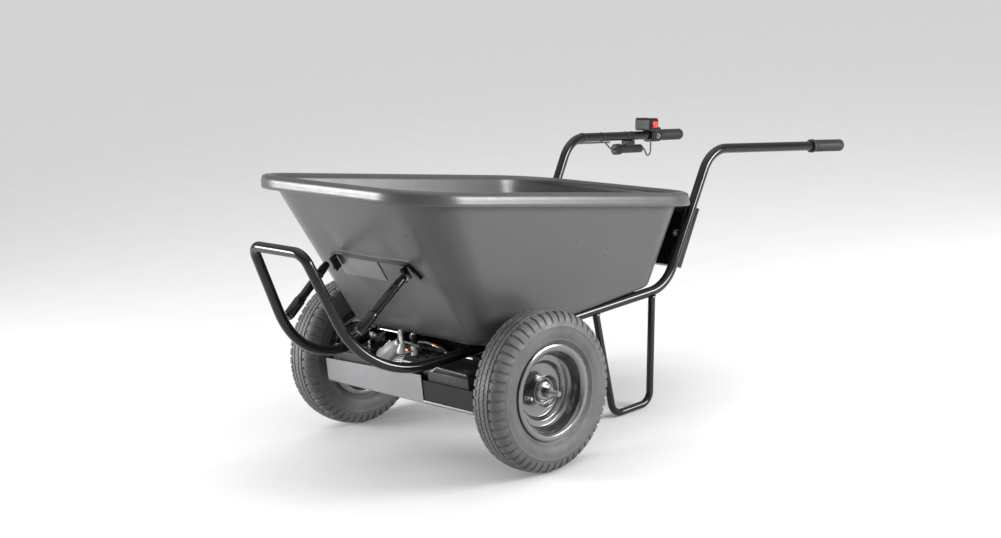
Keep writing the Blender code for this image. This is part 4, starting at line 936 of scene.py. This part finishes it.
def grip_profile(length):
    """A grip's section with a collar, fine ribs and a rounded end."""
    bore = TUBE_RADIUS + GAP
    profile = [(0, length - 0.004), (bore, length - 0.004), (bore, 0), (0.0185, 0),
               (0.019, 0.0006), (0.019, 0.0085), (0.0184, 0.0098), (0.017, 0.011),
               (0.0165, 0.013)]
    for index in range(int((length - 0.03) / RIB_PITCH)):
        low = 0.015 + index * RIB_PITCH
        profile += [(0.0162, low), (0.0169, low + 0.0006), (0.0169, low + 0.0024),
                    (0.0162, low + 0.003)]
    return profile + [(0.017, length - 0.012), (0.017, length - 0.0035),
                      (0.016, length - 0.0012), (0.014, length - 0.0002), (0, length)]


def grips():
    """The plain grip on the left handle and the twist grip on the right one."""
    for name, body, side, length in (("left_grip", "chassis", 1, LEFT_GRIP_LENGTH),
                                     ("throttle_grip", "throttle", -1, THROTTLE_LENGTH)):
        piece(f"{name}_fine", [(lathe(grip_profile(length), 48), GRIP)], [name],
              50, on_handle(side, length - GRIP_TAIL), body)


def throttle():
    """Trim on the throttle's housing: bezel, seam, clamp screws and the thumb button."""
    place = on_handle(-1, CLAMP_BACK)
    paint_nodes(BLACK_PLASTIC, "throttle_housing")
    x, y, z = BUTTON_AT
    trim = [moved(block((0.003, 0.0026, 0.032), 0.0009), (x - 0.00045, y + side * 0.0118, z))
            for side in (-1, 1)]
    trim += [moved(block((0.003, 0.0262, 0.0026), 0.0009), (x - 0.00045, y, z + side * 0.015))
             for side in (-1, 1)]
    trim.append(moved(block((0.056, 0.003, 0.04), 0.0012), (0, 0.051, z)))
    trim.append(lathe([(0.0134, -0.0275), (0.02, -0.0275), (0.0205, -0.0269),
                       (0.0205, -0.0217), (0.0198, -0.0211), (0.0134, -0.0211)], 40,
                      closed=True))
    screws = [moved(dome(0.0028, 0.0016), (side * 0.0215, 0.0523, z + rise), (0, 1, 0))
              for rise in (-0.014, 0.014) for side in (-1, 1)]
    screws.append(moved(bolt(0.0085), (-0.019, -0.002, 0.004), (-1, 0, 0), (0, 1, 0)))
    piece("throttle_trim", [(trim, BLACK_PLASTIC), (screws, ZINC)],
          place=place)
    rocker = moved(block((0.0016, 0.012, 0.018), 0.0007), (-0.005, 0, 0))
    piece("thumb_button", [([block((0.0105, 0.0194, 0.0254), 0.0026, 4), rocker], RED_PLASTIC)],
          ["red_button"], place=place @ at(BUTTON_AT), body="button")


def band(inner, outer, width, height=0.0):
    """A flat strap round Z."""
    low, high = height - width / 2, height + width / 2
    return lathe([(inner, low), (outer, low), (outer, high), (inner, high)], 40, closed=True)


def fuse():
    """The fuse holder with its knurled cap, saddle and straps, and the leads' finish."""
    rear, front = 0.064, -0.068
    barrel = turned([(0.007, rear), (0.0092, rear - 0.001), (0.0105, rear - 0.004),
                     (0.0125, rear - 0.006), (0.0125, 0.03), (0.0121, 0.0296), (0.0121, 0.026),
                     (0.0125, 0.0256), (0.0125, front + 0.029)], 40)
    cap = moved(prism(toothed(28, 0.0155, 0.0165, (0, 0.35, 0.5, 0.85)), 0.023, 0.0012),
                (0, 0, front + 0.0145))
    nose = lathe([(0, front), (0.011, front), (0.013, front + 0.003), (0, front + 0.004)], 32)
    saddle = moved(block((0.02, 0.0185, 0.042), 0.002), (0, -0.0222, 0))
    straps = [band(0.0131, 0.0141, 0.005, z) for z in (-0.013, 0.013)]
    body = [moved([barrel, cap, nose], (0, -FUSE_DROP, 0)), saddle]
    piece("fuse_holder_fine", [(body, BLACK_PLASTIC), (straps, GRIP)], ["fuse_holder"],
          place=on_handle(-1, FUSE_BACK))
    paint_nodes(CABLE, "throttle_lead", "fuse_lead")
    line = [(0, -0.017, -0.09), (0, -0.0165, -0.13), (0, -0.0165, -0.25)]
    harness = sweep(bent(line, 0.02), 0.0026, 14)
    clips = [moved(band(0.0131, 0.0139, 0.0044), (0, 0, back)) for back in (-0.129, -0.219)]
    piece("handle_harness", [(harness, CABLE), (clips, GRIP)],
          place=on_handle(-1, FUSE_BACK))


# ---------------------------------------------------------------- rear panel

RISER_LEAN = atan2(HANDLE_BEND[1] - RAIL_END[1], HANDLE_BEND[2] - RAIL_END[2])
REAR_PANEL, REAR_PANEL_RISE = (0.524, 0.022, 0.17), 0.15
CONTROLLER = (0.18, 0.032, 0.11)


def panel_place():
    """The middle of the rear panel, leaning with the handles' risers."""
    turn = Matrix.Rotation(-RISER_LEAN, 4, "X")
    out = turn @ Vector((0, TUBE_RADIUS + GAP + REAR_PANEL[1] / 2, REAR_PANEL_RISE))
    return Matrix.Translation(Vector((0, RAIL_END[1], RAIL_END[2])) + out) @ turn


def rear_panel():
    """The folded panel with its bolts, and the stays that hold it to the tub's rim."""
    width, depth, height = REAR_PANEL
    place = panel_place()
    shapes = [moved(block((width, 0.003, height), 0.0014), (0, depth / 2 - 0.0015, 0)),
              moved(block((width - 0.012, 0.002, height - 0.012), 0.0008),
                    (0, 0.0022 - depth / 2, 0))]
    bolts, stays = [], []
    for side in (-1, 1):
        edge = block((width - 0.002, depth - 0.001, 0.003), 0.0012)
        shapes.append(moved(edge, (0, 0, side * (height / 2 - 0.0016))))
        edge = block((0.003, depth - 0.001, height - 0.002), 0.0012)
        shapes.append(moved(edge, (side * (width / 2 - 0.0016), 0, 0)))
        for z in (-0.05, 0.05):
            bolts.append(moved(bolt(0.0095), (side * 0.245, depth / 2, z), (0, 1, 0)))
        bolts.append(moved(bolt(0.0095), (side * 0.222, 0.0012 - depth / 2, 0.006), (0, -1, 0)))
        low = place @ Vector((side * 0.235, 0.001 - depth / 2, height / 2 - 0.01))
        high = Vector((side * 0.235, RIM_REAR + 0.018, RIM_REAR_Z - 0.004))
        stays.append(sweep(bent([low, (low + high) / 2, high], 0.02), 0.005, 14))
    piece("panel_fine", [(shapes, BLACK_PAINT), (bolts, ZINC)], ["rear_panel"],
          place=place)
    piece("panel_stays", [(stays, BLACK_PAINT)])


def controller():
    """The finned controller case behind the panel, with its ears, glands and cables."""
    wide, deep, tall = CONTROLLER
    case = [moved(block((wide, deep - 0.014, tall), 0.003), (0, -0.007, 0))]
    for index in range(15):
        x = -wide / 2 + 0.014 + index * (wide - 0.028) / 14
        case.append(moved(block((0.0034, 0.015, tall - 0.012), 0.0012), (x, 0.0082, 0)))
    ears, heads, glands = [], [], []
    for x in (-wide / 2 - 0.008, wide / 2 + 0.008):
        ears.append(moved(block((0.022, 0.003, 0.03), 0.001), (x, 0.0016 - deep / 2, 0)))
        heads.append(moved(dome(0.0042, 0.0028), (x, 0.003 - deep / 2, 0), (0, 1, 0)))
    for x in (-0.06, -0.02, 0.02, 0.06):
        nut = prism(circle(0.0095, 6), 0.007, 0.001)
        tail = [(x, -0.006, -tall / 2 - 0.004), (x, -0.008, -tall / 2 - 0.03),
                (x * 0.7, -0.03, -tall / 2 - 0.052), (x * 0.5, -0.075, -tall / 2 - 0.058)]
        glands += [moved(nut, (x, -0.006, -tall / 2 - 0.0034)),
                   sweep(bent(tail, 0.016), 0.004, 14)]
    piece("controller_fine", [(case, CAST), (ears, BLACK_PAINT), (heads, ZINC), (glands, CABLE)],
          ["controller_case"],
          place=panel_place() @ at((0, REAR_PANEL[1] / 2 + GAP + deep / 2, 0)))


# ---------------------------------------------------------------- studio

HORIZON_GLOW, SKY_GLOW, FLOOR_REACH = 0.64, 1.4, 60.0
LIGHT_SPREAD = radians(160)
LIGHTS = (
    ("front_left", (-2.0, -2.8, 0.95), (0.0, -0.4, 0.62), (1.3, 0.9), 92),
    ("right", (2.6, 1.2, 1.05), (0.1, 0.1, 0.62), (1.3, 0.9), 92),
    ("over", (-0.5, 0.4, 4.0), (0.0, 0.0, 0.4), (2.4, 2.4), 10),
)


def area_light(name, place, target, size, power):
    """A soft rectangular light aimed at a point."""
    lamp = bpy.data.lights.new(name, "AREA")
    lamp.shape = "RECTANGLE"
    lamp.size, lamp.size_y = size
    lamp.energy = power
    lamp.spread = LIGHT_SPREAD
    made = bpy.data.objects.new(name, lamp)
    made.location = place
    aim = Vector(target) - Vector(place)
    made.rotation_euler = aim.to_track_quat("-Z", "Y").to_euler()
    made.visible_camera = False
    bpy.context.scene.collection.objects.link(made)


def surround():
    """A bright world that is paler over the horizon and brightest overhead."""
    world = bpy.data.worlds.new("studio")
    world.use_nodes = True
    tree = world.node_tree
    where = add_node(tree, "ShaderNodeTexCoord").outputs["Generated"]
    height = add_node(tree, "ShaderNodeSeparateXYZ", ((0, where),)).outputs["Z"]
    horizon = remap(tree, height, 0.16, 0.32, HORIZON_GLOW, 0.05)
    sky = remap(tree, height, 0.25, 1.0, 0.0, SKY_GLOW)
    glow = add_node(tree, "ShaderNodeMath", ((0, horizon), (1, sky)), operation="ADD").outputs[0]
    tree.links.new(glow, tree.nodes["Background"].inputs["Strength"])
    tree.nodes["Background"].inputs["Color"].default_value = (1.0, 1.0, 1.0, 1)
    bpy.context.scene.world = world


def studio():
    """A pale floor, a bright surround, soft lights and the camera."""
    scene = bpy.context.scene
    scene.view_settings.view_transform = "Standard"
    surround()
    mesh = bpy.data.meshes.new("floor")
    corners = ((-1, -1), (1, -1), (1, 1), (-1, 1))
    mesh.from_pydata([(x * FLOOR_REACH, y * FLOOR_REACH, -0.0005) for x, y in corners], [],
                     [(0, 1, 2, 3)])
    floor = bpy.data.objects.new("floor", mesh)
    mesh.materials.append(surface("floor_white", (0.74, 0.74, 0.74), 0.8, spread=0.01,
                                  grain=60.0, depth=0.01))
    scene.collection.objects.link(floor)
    for light in LIGHTS:
        area_light(*light)
    lens = bpy.data.cameras.new("camera")
    lens.sensor_width = 36.0
    lens.lens = 64.735
    camera = bpy.data.objects.new("camera", lens)
    camera.location = (3.415, AXLE_Y - 2.8519, 1.5203)
    camera.rotation_euler = (1.3328, 0.0974, 0.8128)
    scene.collection.objects.link(camera)
    scene.camera = camera


for build in (studio, tub, frame_tubes, nose_bracket, struts, battery_pan, drive, cross_bars,
              wheels, grips, throttle, fuse, rear_panel, controller):
    build()
